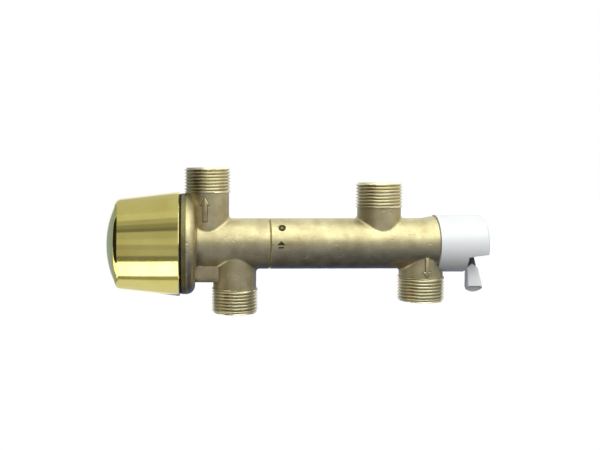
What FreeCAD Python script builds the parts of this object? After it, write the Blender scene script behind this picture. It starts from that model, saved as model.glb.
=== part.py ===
import FreeCAD, Part
import Sketcher
import math
import os

# Hydraulic hot water regulator: two cast brass bodies joined end to end on one axis.
# Millimetres. The origin is the middle of the cold inlet's end face, with the inlet's axis on Z and the
# regulator's main axis parallel to X, one axis height above it. Sizes along X are counted from the inlet's
# axis, and radii and drops from the main axis.

DIMENSIONS = {
    # Where things lie
    "axis_height": 39.5,
    "outlet_height": 43.5,
    "supply_height": 35.0,
    "return_height": 33.0,
    "outlet_x": -15.6,
    "joint_x": 19.8,
    "supply_x": 83.1,
    "return_x": 107.5,
    "body_end_x": 114.8,
    # Cast tube and necks
    "tube_radius": 14.5,
    "bore_radius": 11.0,
    "neck_radius": 12.4,
    "cast_fillet": 2.0,
    "joint_chamfer": 0.6,
    # Pipe threads, three quarter inch, plain at their crest
    "thread_radius": 13.22,
    "thread_length": 14.0,
    "thread_chamfer": 1.0,
    "port_bore_radius": 8.0,
    "port_floor": 7.0,
    # Diaphragm flange and its collar
    "flange_radius": 28.85,
    "flange_x": -30.2,
    "flange_rim": 2.5,
    "flange_round": 5.0,
    "flange_back_slope": 0.4,
    "flange_root_rise": 1.4,
    "flange_root_run": 2.0,
    "flange_root_sink": 1.5,
    "collar_step": 2.85,
    "collar_length": 8.0,
    "chamber_radius": 17.5,
    "bulkhead_x": -27.2,
    "bulkhead_wall": 2.6,
    # Sensing duct under the left body
    "duct_boss_drop": 21.7,
    "duct_boss_width": 16.0,
    "duct_boss_round": 3.0,
    "duct_hole_drop": 19.4,
    "duct_hole_radius": 1.1,
    "duct_hole_end": 4.0,
    # Diaphragm cover
    "cover_overhang": 1.05,
    "cover_taper": 4.2,
    "cover_length": 35.6,
    "cover_dome": 6.6,
    "cover_wall": 2.6,
    "cover_corner_wall": 3.4,
    "cover_inner_dome": 4.6,
    "cover_edge": 2.0,
    "gasket_thickness": 1.2,
    "gasket_inset": 0.3,
    # Diaphragm stack
    "diaphragm_thickness": 1.0,
    "clamp_thickness": 2.5,
    "fold_width": 3.0,
    "fold_height": 2.6,
    "fold_wall": 0.6,
    "fold_slope": 0.75,
    "plate_thickness": 1.5,
    "plate_dish": 0.9,
    "nut_height": 3.4,
    "nut_across_flats": 8.0,
    # Spindle and its guides
    "spindle_radius": 3.0,
    "spindle_stud_radius": 2.5,
    "bush_radius": 6.0,
    "bush_flange": 8.0,
    "bush_flange_thickness": 2.0,
    "bush_nose": 2.6,
    "stud_overhang": 0.8,
    # Throttle between the secondary ports
    "throttle_x": -9.3,
    "throttle_thickness": 3.0,
    "throttle_hole": 7.0,
    "throttle_lead": 1.5,
    "throttle_cone_length": 5.0,
    "throttle_cone_tip": 0.8,
    "throttle_cone_land": 1.2,
    "clip_thickness": 0.8,
    "clip_radius": 4.6,
    "clip_mouth": 2.0,
    "clip_groove": 0.6,
    # Spigot and gland between the two bodies
    "spigot_radius": 12.0,
    "spigot_length": 14.0,
    "spigot_bore": 9.0,
    "spigot_taper": 2.0,
    "spigot_bore_start": 6.0,
    "gland_wall": 9.0,
    "gland_lip": 1.5,
    "stem_ring_section": 1.45,
    "body_ring_section": 1.0,
    "ring_groove_inset": 0.8,
    "ring_groove_width": 2.6,
    "pin_x": 26.2,
    "pin_angle": 42.0,
    "pin_radius": 1.75,
    "pin_mouth_radius": 2.25,
    "pin_mouth_depth": 1.0,
    "pin_groove_depth": 1.0,
    "pin_sink": 0.25,
    # Primary valve
    "partition_x": 93.0,
    "partition_wall": 3.0,
    "partition_hole": 8.0,
    "seat_thickness": 2.5,
    "seat_hole": 6.5,
    "seat_rim_height": 0.8,
    "seat_rim_width": 0.8,
    "seat_rim_slope": 0.6,
    "seal_radius": 8.2,
    "seal_thickness": 2.0,
    "seat_gap": 0.1,
    "cone_thickness": 3.0,
    "cone_lip": 0.8,
    "cone_lip_inset": 0.6,
    "cone_shoulder": 1.2,
    "cone_nut_height": 2.4,
    "cone_nut_flats": 7.0,
    "outlet_core_x": 103.0,
    "outlet_core_radius": 6.3,
    "outlet_core_drop": 20.0,
    # Bonnet and its lip on the body
    "lip_radius": 15.8,
    "lip_length": 2.4,
    "bonnet_seat_depth": 5.0,
    "bonnet_radius": 12.0,
    "bonnet_flange_radius": 13.4,
    "bonnet_flange_thickness": 1.5,
    "bonnet_reach": 12.2,
    "bonnet_end_wall": 4.5,
    "bonnet_bore": 8.0,
    # Setting screw, spring and spring cup
    "screw_radius": 3.0,
    "screw_collar_radius": 5.5,
    "screw_collar": 2.5,
    "screw_thread_length": 8.4,
    "screw_square": 4.4,
    "screw_square_reach": 5.0,
    "screw_tap_depth": 6.0,
    "screw_ring_section": 0.95,
    "cup_radius": 7.6,
    "cup_length": 4.6,
    "cup_inset": 1.2,
    "cup_spigot": 1.0,
    "key_width": 3.0,
    "key_height": 1.2,
    "spring_wire": 0.6,
    "spring_radius": 6.4,
    "spring_turns": 4.0,
    # Setting handle
    "handle_radius": 16.4,
    "handle_reach": 27.8,
    "handle_wall": 2.3,
    "handle_web": 1.8,
    "handle_skirt": 14.5,
    "handle_step_drop": 7.0,
    "handle_edge": 1.8,
    "handle_inner_chamfer": 1.0,
    "handle_screw_radius": 1.5,
    "handle_screw_head": 2.8,
    "handle_screw_head_height": 2.0,
    "handle_screw_dome": 0.8,
    "handle_screw_sink": 2.4,
    "handle_screw_bite": 5.0,
    "fork_reach": 22.0,
    "fork_top_width": 1.8,
    "fork_spread": 4.8,
    "fork_depth": 3.4,
    "fork_socket": 4.0,
    "fork_tongue_width": 1.2,
    "fork_tongue_drop": 16.5,
    "grip_left": 4.6,
    "grip_right": 3.6,
    "grip_depth": 8.0,
    "grip_top_drop": 11.6,
    "grip_gable_slope": 0.75,
    "grip_end_drop": 28.2,
    "grip_lean": 0.7,
    "grip_flare": 2.6,
    "grip_end_sag": 2.8,
    "grip_round": 2.2,
    # Edge breaks, clearances and how far a cut runs past a face
    "edge_break": 0.4,
    "overrun": 1.0,
    "running_gap": 0.05,
    "seat_clearance": 0.03,
    "thread_gap": 0.2,
    "free_gap": 0.3,
}

SHEET_NAME = "Sizes"


class Size:
    """A length and the sheet formula that gives it."""

    def __init__(self, value, formula):
        self.value = float(value)
        self.formula = formula

    def __add__(self, other):
        other = as_size(other)
        return Size(self.value + other.value, f"({self.formula} + {other.formula})")

    def __sub__(self, other):
        other = as_size(other)
        return Size(self.value - other.value, f"({self.formula} - {other.formula})")

    def __mul__(self, other):
        other = as_size(other)
        return Size(self.value * other.value, f"({self.formula} * {other.formula})")

    def __truediv__(self, other):
        other = as_size(other)
        return Size(self.value / other.value, f"({self.formula} / {other.formula})")

    def __neg__(self):
        return as_size(0.0) - self


def as_size(number):
    """Turn a plain number into a Size, and leave a Size as it is."""
    if isinstance(number, Size):
        return number
    return Size(number, repr(float(number)))


class Arc:
    """A round stretch of a profile, from its own point to the next one."""

    def __init__(self, radius, turn):
        self.radius = radius
        self.turn = turn


def make_sheet(doc):
    """Write the driving dimensions into the sheet and give each cell its alias."""
    sheet = doc.addObject("Spreadsheet::Sheet", SHEET_NAME)
    for row, (alias, value) in enumerate(DIMENSIONS.items(), start=1):
        sheet.set(f"A{row}", alias)
        sheet.set(f"B{row}", str(value))
        sheet.setAlias(f"B{row}", alias)
    doc.recompute()
    return sheet


def size(alias):
    """The Size that a sheet alias holds."""
    return Size(DIMENSIONS[alias], f"{SHEET_NAME}.{alias}")


def new_body(doc, label):
    """A body on the regulator's main axis."""
    body = doc.addObject("PartDesign::Body", label)
    body.Label = label
    body.setExpression("Placement.Base.z", size("axis_height").formula)
    return body


def new_sketch(body, name, plane_role, offset=None):
    """A sketch on one of the body's own origin planes, moved along the plane's normal."""
    sketch = body.newObject("Sketcher::SketchObject", name)
    plane = [item for item in body.Origin.OriginFeatures if item.Role == plane_role][0]
    sketch.AttachmentSupport = [(plane, "")]
    sketch.MapMode = "FlatFace"
    if offset is not None:
        sketch.AttachmentOffset = FreeCAD.Placement(
            FreeCAD.Vector(0, 0, offset.value), FreeCAD.Rotation()
        )
        sketch.setExpression("AttachmentOffset.Base.z", offset.formula)
    return sketch


def fix_point(sketch, geometry, position, name, across, up):
    """Tie a point of the sketch to its two coordinates."""
    for direction, length in (("X", across), ("Y", up)):
        constraint = Sketcher.Constraint(
            "Distance" + direction, -1, 1, geometry, position, length.value
        )
        index = sketch.addConstraint(constraint)
        label = f"{name}_{direction.lower()}"
        sketch.renameConstraint(index, label)
        sketch.setExpression(f"Constraints.{label}", length.formula)


def arc_curve(start, end, radius, turn):
    """The arc between two points, its centre on the given side of the chord, and whether it runs forward."""
    chord = end - start
    half = chord.Length / 2
    rise = math.sqrt(max(radius * radius - half * half, 0.0))
    normal = FreeCAD.Vector(-chord.y, chord.x, 0)
    normal.normalize()
    centre = (start + end) / 2 + normal * (rise * turn)
    forward = (start - centre).cross(end - centre).z > 0
    first, last = (start, end) if forward else (end, start)
    begin = math.atan2(first.y - centre.y, first.x - centre.x)
    finish = math.atan2(last.y - centre.y, last.x - centre.x)
    if finish < begin:
        finish += 2 * math.pi
    circle = Part.Circle(centre, FreeCAD.Vector(0, 0, 1), radius)
    return Part.ArcOfCircle(circle, begin, finish), forward


def draw_outline(sketch, points):
    """A closed outline of straight and round stretches, every corner tied to its sizes."""
    corners = [FreeCAD.Vector(as_size(p[0]).value, as_size(p[1]).value, 0) for p in points]
    ends = []
    for number, point in enumerate(points):
        start = corners[number]
        end = corners[(number + 1) % len(points)]
        if len(point) == 3:
            curve, forward = arc_curve(start, end, point[2].radius.value, point[2].turn)
            sketch.addGeometry(curve, False)
            ends.append((1, 2) if forward else (2, 1))
        else:
            sketch.addGeometry(Part.LineSegment(start, end), False)
            ends.append((1, 2))
    for number, point in enumerate(points):
        following = (number + 1) % len(points)
        sketch.addConstraint(
            Sketcher.Constraint("Coincident", number, ends[number][1], following, ends[following][0])
        )
        fix_point(
            sketch, number, ends[number][0], f"p{number}", as_size(point[0]), as_size(point[1])
        )
        if len(point) == 3:
            radius = point[2].radius
            index = sketch.addConstraint(Sketcher.Constraint("Radius", number, radius.value))
            sketch.renameConstraint(index, f"r{number}")
            sketch.setExpression(f"Constraints.r{number}", radius.formula)


def turn_feature(body, kind, name, points):
    """Turn an outline of (x, radius) points about the main axis, to add or to cut."""
    sketch = new_sketch(body, name + "_outline", "XZ_Plane")
    draw_outline(sketch, points)
    feature = body.newObject(kind, name)
    feature.Profile = sketch
    feature.ReferenceAxis = (sketch, ["H_Axis"])
    feature.Angle = 360.0
    return feature


def turned(doc, label, points):
    """A body turned in one go from its half section."""
    body = new_body(doc, label)
    turn_feature(body, "PartDesign::Revolution", label + "_turned", points)
    return body


def round_feature(body, kind, name, plane_role, centre, radius, start, length, forward):
    """A round boss or hole: a circle on a plane, run along the plane's normal or against it."""
    sketch = new_sketch(body, name + "_circle", plane_role, start)
    middle = FreeCAD.Vector(as_size(centre[0]).value, as_size(centre[1]).value, 0)
    sketch.addGeometry(Part.Circle(middle, FreeCAD.Vector(0, 0, 1), radius.value), False)
    index = sketch.addConstraint(Sketcher.Constraint("Radius", 0, radius.value))
    sketch.renameConstraint(index, "radius")
    sketch.setExpression("Constraints.radius", radius.formula)
    fix_point(sketch, 0, 3, "centre", as_size(centre[0]), as_size(centre[1]))
    return run_feature(body, kind, name, sketch, length, forward)


def run_feature(body, kind, name, sketch, length, forward):
    """Run a sketch along its normal, as a pad or as a pocket."""
    feature = body.newObject(kind, name)
    feature.Profile = sketch
    feature.setExpression("Length", length.formula)
    feature.Reversed = forward if kind == "PartDesign::Pocket" else not forward
    return feature


def outline_feature(body, kind, name, plane_role, points, start, length, forward):
    """Run a closed outline along its plane's normal, as a pad or as a pocket."""
    sketch = new_sketch(body, name + "_outline", plane_role, start)
    draw_outline(sketch, points)
    return run_feature(body, kind, name, sketch, length, forward)


def hexagon(across_flats):
    """The corners of a hexagon about the main axis, flats up and down."""
    half = across_flats / 2
    corner = across_flats / math.sqrt(3)
    quarter = corner / 2
    return [
        (corner, 0),
        (quarter, half),
        (-quarter, half),
        (-corner, 0),
        (-quarter, -half),
        (quarter, -half),
    ]


def round_edges(body, name, edges, radius):
    """Fillet the given edges of the body's last feature."""
    base = body.Tip
    fillet = body.newObject("PartDesign::Fillet", name)
    fillet.Base = (base, edges)
    fillet.setExpression("Radius", radius.formula)
    return fillet


def edges_between(shape, first_test, second_test):
    """Names of the edges that part a face passing the first test from one passing the second."""
    names = []
    for number, edge in enumerate(shape.Edges, start=1):
        faces = shape.ancestorsOfType(edge, Part.Face)
        if len(faces) != 2:
            continue
        one, other = faces
        if (first_test(one) and second_test(other)) or (first_test(other) and second_test(one)):
            names.append(f"Edge{number}")
    return names


def is_cylinder(direction, radius):
    """A test for round faces of one radius along one direction."""

    def test(face):
        surface = face.Surface
        if not isinstance(surface, Part.Cylinder):
            return False
        return abs(surface.Axis.dot(direction)) > 0.99 and abs(surface.Radius - radius.value) < 1e-4

    return test


def is_circle(edge):
    """Whether an edge is round, leaving out the point at a dome's tip."""
    return not edge.Degenerated and isinstance(edge.Curve, Part.Circle)


def circle_edges(shape, x, radius):
    """Names of the circles about the main axis at one x and one radius."""
    names = []
    for number, edge in enumerate(shape.Edges, start=1):
        if not is_circle(edge):
            continue
        curve = edge.Curve
        if abs(curve.Center.x - x.value) < 1e-3 and abs(curve.Radius - radius.value) < 1e-3:
            names.append(f"Edge{number}")
    return names


def add_port(body, name, x, height, upward):
    """A cast neck on the tube, before its fillet."""
    thread_start = size(height) - size("thread_length")
    return round_feature(
        body, "PartDesign::Pad", name + "_neck", "XY_Plane", (x, 0), size("neck_radius"), as_size(0.0),
        thread_start, upward,
    )


def add_thread(body, name, x, height, upward):
    """The threaded end of a port, with its lead-in chamfer."""
    side = 1.0 if upward else -1.0
    start = (size(height) - size("thread_length")) * side
    pad = round_feature(
        body, "PartDesign::Pad", name + "_thread", "XY_Plane", (x, 0), size("thread_radius"), start,
        size("thread_length"), upward,
    )
    body.Document.recompute()
    rim = []
    for number, edge in enumerate(pad.Shape.Edges, start=1):
        if not is_circle(edge):
            continue
        centre = edge.Curve.Center
        at_end = abs(centre.z - side * size(height).value) < 1e-3
        if at_end and abs(centre.x - as_size(x).value) < 1e-3:
            rim.append(f"Edge{number}")
    chamfer = body.newObject("PartDesign::Chamfer", name + "_lead_in")
    chamfer.Base = (pad, rim)
    chamfer.setExpression("Size", size("thread_chamfer").formula)
    return chamfer


def bore_port(body, name, x, height, upward, depth):
    """The water way from a port's end face inwards."""
    side = 1.0 if upward else -1.0
    return round_feature(
        body, "PartDesign::Pocket", name + "_bore", "XY_Plane", (x, 0), size("port_bore_radius"),
        size(height) * side, depth, not upward,
    )


def fillet_necks(body, name):
    """Cast fillets where the necks meet the tube."""
    body.Document.recompute()
    along_z = FreeCAD.Vector(0, 0, 1)
    along_x = FreeCAD.Vector(1, 0, 0)
    edges = edges_between(
        body.Tip.Shape,
        is_cylinder(along_z, size("neck_radius")),
        is_cylinder(along_x, size("tube_radius")),
    )
    return round_edges(body, name, edges, size("cast_fillet"))


def secondary_body(doc):
    """Left casting: diaphragm flange, cold inlet below, outlet above, spigot to the right."""
    body = new_body(doc, "secondary_body")
    flange_x = size("flange_x")
    flange_r = size("flange_radius")
    collar_end = flange_x - size("collar_length")
    rim_end = flange_x + size("flange_rim")
    back_x = rim_end + size("flange_round")
    back_r = flange_r - size("flange_round")
    tube_r = size("tube_radius")
    joint = size("joint_x")
    chamfer = size("joint_chamfer")
    spigot_end = joint + size("spigot_length")
    spigot_r = size("spigot_radius")
    pin_r = size("pin_radius") + size("thread_gap")
    ring_start, ring_end, ring_floor = joint_ring_groove()
    turn_feature(body, "PartDesign::Revolution", "secondary_tube", [
        (collar_end, 0),
        (collar_end, tube_r),
        (joint - chamfer, tube_r),
        (joint, tube_r - chamfer),
        (joint, spigot_r),
        (size("pin_x") - pin_r, spigot_r),
        (size("pin_x") - pin_r, spigot_r - size("pin_groove_depth")),
        (size("pin_x") + pin_r, spigot_r - size("pin_groove_depth")),
        (size("pin_x") + pin_r, spigot_r),
        (ring_start, spigot_r),
        (ring_start, ring_floor),
        (ring_end, ring_floor),
        (ring_end, spigot_r),
        (spigot_end, spigot_r),
        (spigot_end, 0),
    ])
    add_port(body, "inlet", 0, "axis_height", False)
    add_port(body, "outlet", size("outlet_x"), "outlet_height", True)
    duct_start = rim_end + size("overrun")
    boss_half = size("duct_boss_width") / 2
    boss_round = size("duct_boss_round")
    boss_foot = -size("duct_boss_drop")
    outline_feature(body, "PartDesign::Pad", "duct_boss", "YZ_Plane", [
        (-boss_half, 0),
        (-boss_half, boss_foot + boss_round, Arc(boss_round, 1)),
        (boss_round - boss_half, boss_foot),
        (boss_half - boss_round, boss_foot, Arc(boss_round, 1)),
        (boss_half, boss_foot + boss_round),
        (boss_half, 0),
    ], duct_start, -duct_start, True)
    fillet_necks(body, "secondary_fillets")
    root_x = back_x + size("flange_back_slope")
    root_end = root_x + size("flange_root_run")
    turn_feature(body, "PartDesign::Revolution", "secondary_flange", [
        (collar_end, 0),
        (collar_end, collar_radius()),
        (flange_x, collar_radius()),
        (flange_x, flange_r),
        (rim_end, flange_r, Arc(size("flange_round"), -1)),
        (back_x, back_r),
        (root_x, tube_r + size("flange_root_rise")),
        (root_end, tube_r - size("flange_root_sink")),
        (root_end, 0),
    ])
    add_thread(body, "inlet", 0, "axis_height", False)
    add_thread(body, "outlet", size("outlet_x"), "outlet_height", True)
    bulkhead_end = size("bulkhead_x") + size("bulkhead_wall")
    gland_x = spigot_end - size("gland_wall")
    taper_end = joint - size("spigot_bore_start")
    turn_feature(body, "PartDesign::Groove", "secondary_bore", [
        (collar_end, 0),
        (collar_end, size("chamber_radius")),
        (size("bulkhead_x"), size("chamber_radius")),
        (size("bulkhead_x"), size("bush_radius")),
        (bulkhead_end, size("bush_radius")),
        (bulkhead_end, size("bore_radius")),
        (taper_end - size("spigot_taper"), size("bore_radius")),
        (taper_end, size("spigot_bore")),
        (gland_x, size("spigot_bore")),
        (gland_x, size("spindle_radius") + size("free_gap")),
        (gland_x + size("gland_lip"), size("spindle_radius") + size("free_gap")),
        (gland_x + size("gland_lip"), size("bush_radius")),
        (spigot_end, size("bush_radius")),
        (spigot_end, 0),
    ])
    floor = size("port_floor")
    bore_port(body, "inlet", 0, "axis_height", False, size("axis_height") - floor)
    bore_port(body, "outlet", size("outlet_x"), "outlet_height", True, size("outlet_height") - floor)
    duct_passage(body, "duct_hole", collar_end, -collar_end - size("duct_hole_end"))
    return body


def collar_radius():
    """Outer radius of the collar that the cover screws on to, one step inside the flange."""
    return size("flange_radius") - size("collar_step")


def joint_ring_groove():
    """Start, end and floor of the groove for the ring that seals the two bodies."""
    end = size("joint_x") + size("spigot_length") - size("ring_groove_inset")
    start = end - size("ring_groove_width")
    floor = size("spigot_radius") - size("body_ring_section") * 2
    return start, end, floor


def primary_body(doc):
    """Right casting: socket for the spigot, supply above, return below, bonnet seat at its end."""
    body = new_body(doc, "primary_body")
    joint = size("joint_x")
    chamfer = size("joint_chamfer")
    tube_r = size("tube_radius")
    end = size("body_end_x")
    lip_r = size("lip_radius")
    lip_rise = lip_r - tube_r
    turn_feature(body, "PartDesign::Revolution", "primary_casting", [
        (joint, 0),
        (joint, tube_r - chamfer),
        (joint + chamfer, tube_r),
        (end - size("lip_length"), tube_r),
        (end - size("lip_length") + lip_rise, lip_r),
        (end, lip_r),
        (end, 0),
    ])
    add_port(body, "supply", size("supply_x"), "supply_height", True)
    add_port(body, "return", size("return_x"), "return_height", False)
    fillet_necks(body, "primary_fillets")
    add_thread(body, "supply", size("supply_x"), "supply_height", True)
    add_thread(body, "return", size("return_x"), "return_height", False)
    socket_end = joint + size("spigot_length") + size("free_gap")
    socket_r = size("spigot_radius") + size("running_gap")
    partition_end = size("partition_x") + size("partition_wall")
    bonnet_x = end - size("bonnet_seat_depth")
    bonnet_r = size("bonnet_radius") + size("running_gap")
    handle_clear = size("handle_radius") + size("free_gap") * 2
    skirt_end = handle_step_x()
    turn_feature(body, "PartDesign::Groove", "primary_bore", [
        (joint, 0),
        (joint, socket_r),
        (socket_end, socket_r),
        (socket_end, size("bore_radius")),
        (size("partition_x"), size("bore_radius")),
        (size("partition_x"), size("partition_hole")),
        (partition_end, size("partition_hole")),
        (partition_end, size("bore_radius")),
        (bonnet_x, size("bore_radius")),
        (bonnet_x, bonnet_r),
        (end, bonnet_r),
        (end, handle_clear),
        (skirt_end, handle_clear),
        (skirt_end, 0),
    ])
    floor = size("port_floor")
    core_depth = size("outlet_core_drop") + size("overrun")
    bore_port(body, "supply", size("supply_x"), "supply_height", True, size("supply_height") - floor)
    bore_port(
        body, "return", size("return_x"), "return_height", False,
        size("return_height") - size("outlet_core_drop"),
    )
    round_feature(
        body, "PartDesign::Pocket", "return_core", "XY_Plane", (size("outlet_core_x"), 0),
        size("outlet_core_radius"), -core_depth, core_depth - floor, True,
    )
    pin_hole(body)
    return body


def pin_hole(body):
    """The stepped cross hole that takes the lock pin, square to the tube at the pin's angle."""
    tube_r = size("tube_radius")
    floor = size("spigot_radius") - size("pin_groove_depth")
    mouth = tube_r - size("pin_mouth_depth")
    top = tube_r + size("overrun")
    for name, radius, start, length in (
        ("pin_hole", size("pin_radius") + size("running_gap"), floor, top - floor),
        ("pin_mouth", size("pin_mouth_radius"), mouth, top - mouth),
    ):
        hole = round_feature(
            body, "PartDesign::Pocket", name, "XY_Plane", (size("pin_x"), 0), radius, start, length, True,
        )
        sketch = hole.Profile[0]
        lean_sketch(sketch, start)


def lean_sketch(sketch, distance):
    """Lean a sketch about the main axis, so that its normal points along the lock pin."""
    lean = 90.0 - DIMENSIONS["pin_angle"]
    sketch.AttachmentOffset = FreeCAD.Placement(
        FreeCAD.Vector(0, -distance.value * math.sin(math.radians(lean)),
                       distance.value * math.cos(math.radians(lean))),
        FreeCAD.Rotation(FreeCAD.Vector(1, 0, 0), lean),
    )
    angle = f"(90 - {SHEET_NAME}.pin_angle)"
    sketch.setExpression("AttachmentOffset.Rotation.Angle", angle)
    sketch.setExpression("AttachmentOffset.Base.y", f"-{distance.formula} * sin({angle} * 1deg)")
    sketch.setExpression("AttachmentOffset.Base.z", f"{distance.formula} * cos({angle} * 1deg)")


def lock_pin(doc):
    """Pin through the right casting's wall into the spigot's groove."""
    body = new_body(doc, "lock_pin")
    start = size("spigot_radius") - size("pin_groove_depth") + size("seat_clearance")
    length = size("tube_radius") - start - size("pin_sink")
    pad = round_feature(
        body, "PartDesign::Pad", "pin_shank", "XY_Plane", (size("pin_x"), 0), size("pin_radius"), start,
        length, True,
    )
    lean_sketch(pad.Profile[0], start)
    return body


def diaphragm_cover(doc):
    """Polished conical cover with a domed end, screwed on to the flange's collar."""
    body = new_body(doc, "diaphragm_cover")
    rim_x = cover_rim_x()
    nose_x = rim_x - size("cover_length")
    tip_x = nose_x - size("cover_dome")
    rim_r = size("flange_radius") + size("cover_overhang")
    nose_r = rim_r - size("cover_taper")
    wall = size("cover_wall")
    thread_r = collar_radius() + size("thread_gap")
    step_x = clamp_ring_x() - size("clamp_thickness")
    inner_nose_r = nose_r - size("cover_corner_wall")
    inner_rise = size("cover_inner_dome")
    inner_rim_r = thread_r - wall
    inner_x = nose_x + wall
    turn_feature(body, "PartDesign::Revolution", "cover_turned", [
        (rim_x, thread_r),
        (rim_x, rim_r),
        (nose_x, nose_r, Arc(dome_radius(nose_r, size("cover_dome")), 1)),
        (tip_x, 0),
        (inner_x - inner_rise, 0, Arc(dome_radius(inner_nose_r, inner_rise), -1)),
        (inner_x, inner_nose_r),
        (step_x, inner_rim_r),
        (step_x, thread_r),
    ])
    doc.recompute()
    nose = circle_edges(body.Tip.Shape, nose_x, nose_r)
    round_edges(body, "cover_edge_round", nose, size("cover_edge"))
    return body


def dome_radius(foot, rise):
    """Radius of the ball that rises so much over a foot circle."""
    return (foot * foot + rise * rise) / (rise * 2)


def cover_rim_x():
    """The cover's open edge, one gasket from the flange."""
    return size("flange_x") - size("gasket_thickness")


def clamp_ring_x():
    """The face where the clamp ring meets the diaphragm."""
    return size("flange_x") - size("collar_length") - size("diaphragm_thickness")


def cover_gasket(doc):
    """Flat black ring between the cover's edge and the flange."""
    inner = collar_radius() + size("thread_gap")
    outer = size("flange_radius") - size("gasket_inset")
    return turned(doc, "cover_gasket", [
        (cover_rim_x(), inner),
        (cover_rim_x(), outer),
        (size("flange_x"), outer),
        (size("flange_x"), inner),
    ])


def duct_passage(body, name, start, length):
    """The sensing duct's hole through a ring."""
    round_feature(
        body, "PartDesign::Pocket", name, "YZ_Plane", (0, -size("duct_hole_drop")),
        size("duct_hole_radius"), start, length, True,
    )


def diaphragm(doc):
    """Moulded rubber disc with one rolled fold, gripped at its rim and at its middle."""
    left = clamp_ring_x()
    right = left + size("diaphragm_thickness")
    thick = size("diaphragm_thickness")
    rim_r = collar_radius()
    fold_out = size("chamber_radius") - size("free_gap")
    fold_in = fold_out - size("fold_width")
    top = left - size("fold_height")
    slope = size("fold_slope")
    wall = size("fold_wall")
    body = turned(doc, "diaphragm", [
        (right, size("spindle_stud_radius") + size("running_gap")),
        (right, fold_in + wall),
        (top + thick, fold_in + wall + slope),
        (top + thick, fold_out - wall - slope),
        (right, fold_out - wall),
        (right, rim_r),
        (left, rim_r),
        (left, fold_out),
        (top, fold_out - slope),
        (top, fold_in + slope),
        (left, fold_in),
        (left, size("spindle_stud_radius") + size("running_gap")),
    ])
    duct_passage(body, "diaphragm_duct", left, thick)
    return body


def clamp_ring(doc):
    """Ring between the diaphragm's rim and the step inside the cover."""
    right = clamp_ring_x()
    left = right - size("clamp_thickness")
    inner = size("chamber_radius")
    outer = collar_radius() - size("free_gap")
    body = turned(doc, "clamp_ring", [(left, inner), (left, outer), (right, outer), (right, inner)])
    duct_passage(body, "clamp_duct", left, size("clamp_thickness"))
    return body


def plate_radius():
    """Outer radius of the plates that grip the diaphragm's middle."""
    return size("chamber_radius") - size("free_gap") - size("fold_width") - size("free_gap")


def spindle_plate(doc, label, gripping_x, side):
    """Dished plate on one side of the diaphragm, its rim bent away from the rubber."""
    thick = size("plate_thickness") * side
    dish = size("plate_dish") * side
    hole = size("spindle_stud_radius") + size("running_gap")
    rim = plate_radius()
    bend = rim - size("plate_thickness")
    return turned(doc, label, [
        (gripping_x, hole),
        (gripping_x, bend),
        (gripping_x + dish, rim),
        (gripping_x + dish + thick, rim),
        (gripping_x + thick, bend),
        (gripping_x + thick, hole),
    ])


def spindle_shoulder_x():
    """The shoulder that carries the diaphragm's plates."""
    return clamp_ring_x() + size("diaphragm_thickness") + size("plate_thickness")


def spindle_nut_x():
    """The plate face that the spindle's nut bears on."""
    return clamp_ring_x() - size("plate_thickness")


def hex_nut(doc, label, start, height, across_flats, hole):
    """Plain hexagon nut on the main axis."""
    body = new_body(doc, label)
    outline_feature(
        body, "PartDesign::Pad", label + "_hexagon", "YZ_Plane", hexagon(across_flats), start, height, True
    )
    round_feature(
        body, "PartDesign::Pocket", label + "_hole", "YZ_Plane", (0, 0), hole, start, height, True
    )
    return body


def valve_seal_x():
    """The rubber seal's face towards the valve seat, with the valve shut."""
    return size("partition_x") + size("partition_wall") + size("seat_thickness") + size("seat_gap")


def throttle_cone_x():
    """Left end of the throttle cone on the spindle."""
    return size("throttle_x") + size("throttle_thickness") + size("free_gap")


def spindle(doc):
    """Turned rod from the diaphragm to the valve, with studs at both ends and two clip grooves."""
    stud = size("spindle_stud_radius")
    rod = size("spindle_radius")
    groove = rod - size("clip_groove")
    shoulder = spindle_shoulder_x()
    left_end = spindle_nut_x() - size("nut_height") - size("stud_overhang")
    clip_x = throttle_cone_x() + size("throttle_cone_length")
    clip_end = clip_x + size("clip_thickness")
    valve_shoulder = valve_seal_x()
    right_end = cone_nut_x() + size("cone_nut_height") + size("stud_overhang")
    edge = size("edge_break")
    return turned(doc, "spindle", [
        (left_end, 0),
        (left_end, stud - edge),
        (left_end + edge, stud),
        (shoulder, stud),
        (shoulder, rod),
        (clip_x, rod),
        (clip_x, groove),
        (clip_end, groove),
        (clip_end, rod),
        (valve_shoulder, rod),
        (valve_shoulder, stud),
        (right_end - edge, stud),
        (right_end, stud - edge),
        (right_end, 0),
    ])


def throttle_cone(doc):
    """Cone on the spindle that narrows the water way between the secondary ports."""
    left = throttle_cone_x()
    right = left + size("throttle_cone_length")
    hole = size("spindle_radius") + size("seat_clearance")
    outer = size("throttle_hole") - size("free_gap")
    return turned(doc, "throttle_cone", [
        (left, hole),
        (left, hole + size("throttle_cone_tip")),
        (right - size("throttle_cone_land"), outer),
        (right, outer),
        (right, hole),
    ])


def throttle_clip(doc):
    """Spring clip in the spindle's groove, open over a quarter of its round."""
    body = new_body(doc, "throttle_clip")
    left = throttle_cone_x() + size("throttle_cone_length")
    inner = size("spindle_radius") - size("clip_groove") + size("seat_clearance")
    turn_feature(body, "PartDesign::Revolution", "clip_ring", [
        (left, inner),
        (left, size("clip_radius")),
        (left + size("clip_thickness"), size("clip_radius")),
        (left + size("clip_thickness"), inner),
    ])
    mouth = size("clip_mouth")
    outline_feature(body, "PartDesign::Pocket", "clip_mouth", "YZ_Plane", [
        (-mouth, 0),
        (mouth, 0),
        (mouth, size("clip_radius") * 2),
        (-mouth, size("clip_radius") * 2),
    ], left, size("clip_thickness"), True)
    return body


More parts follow.
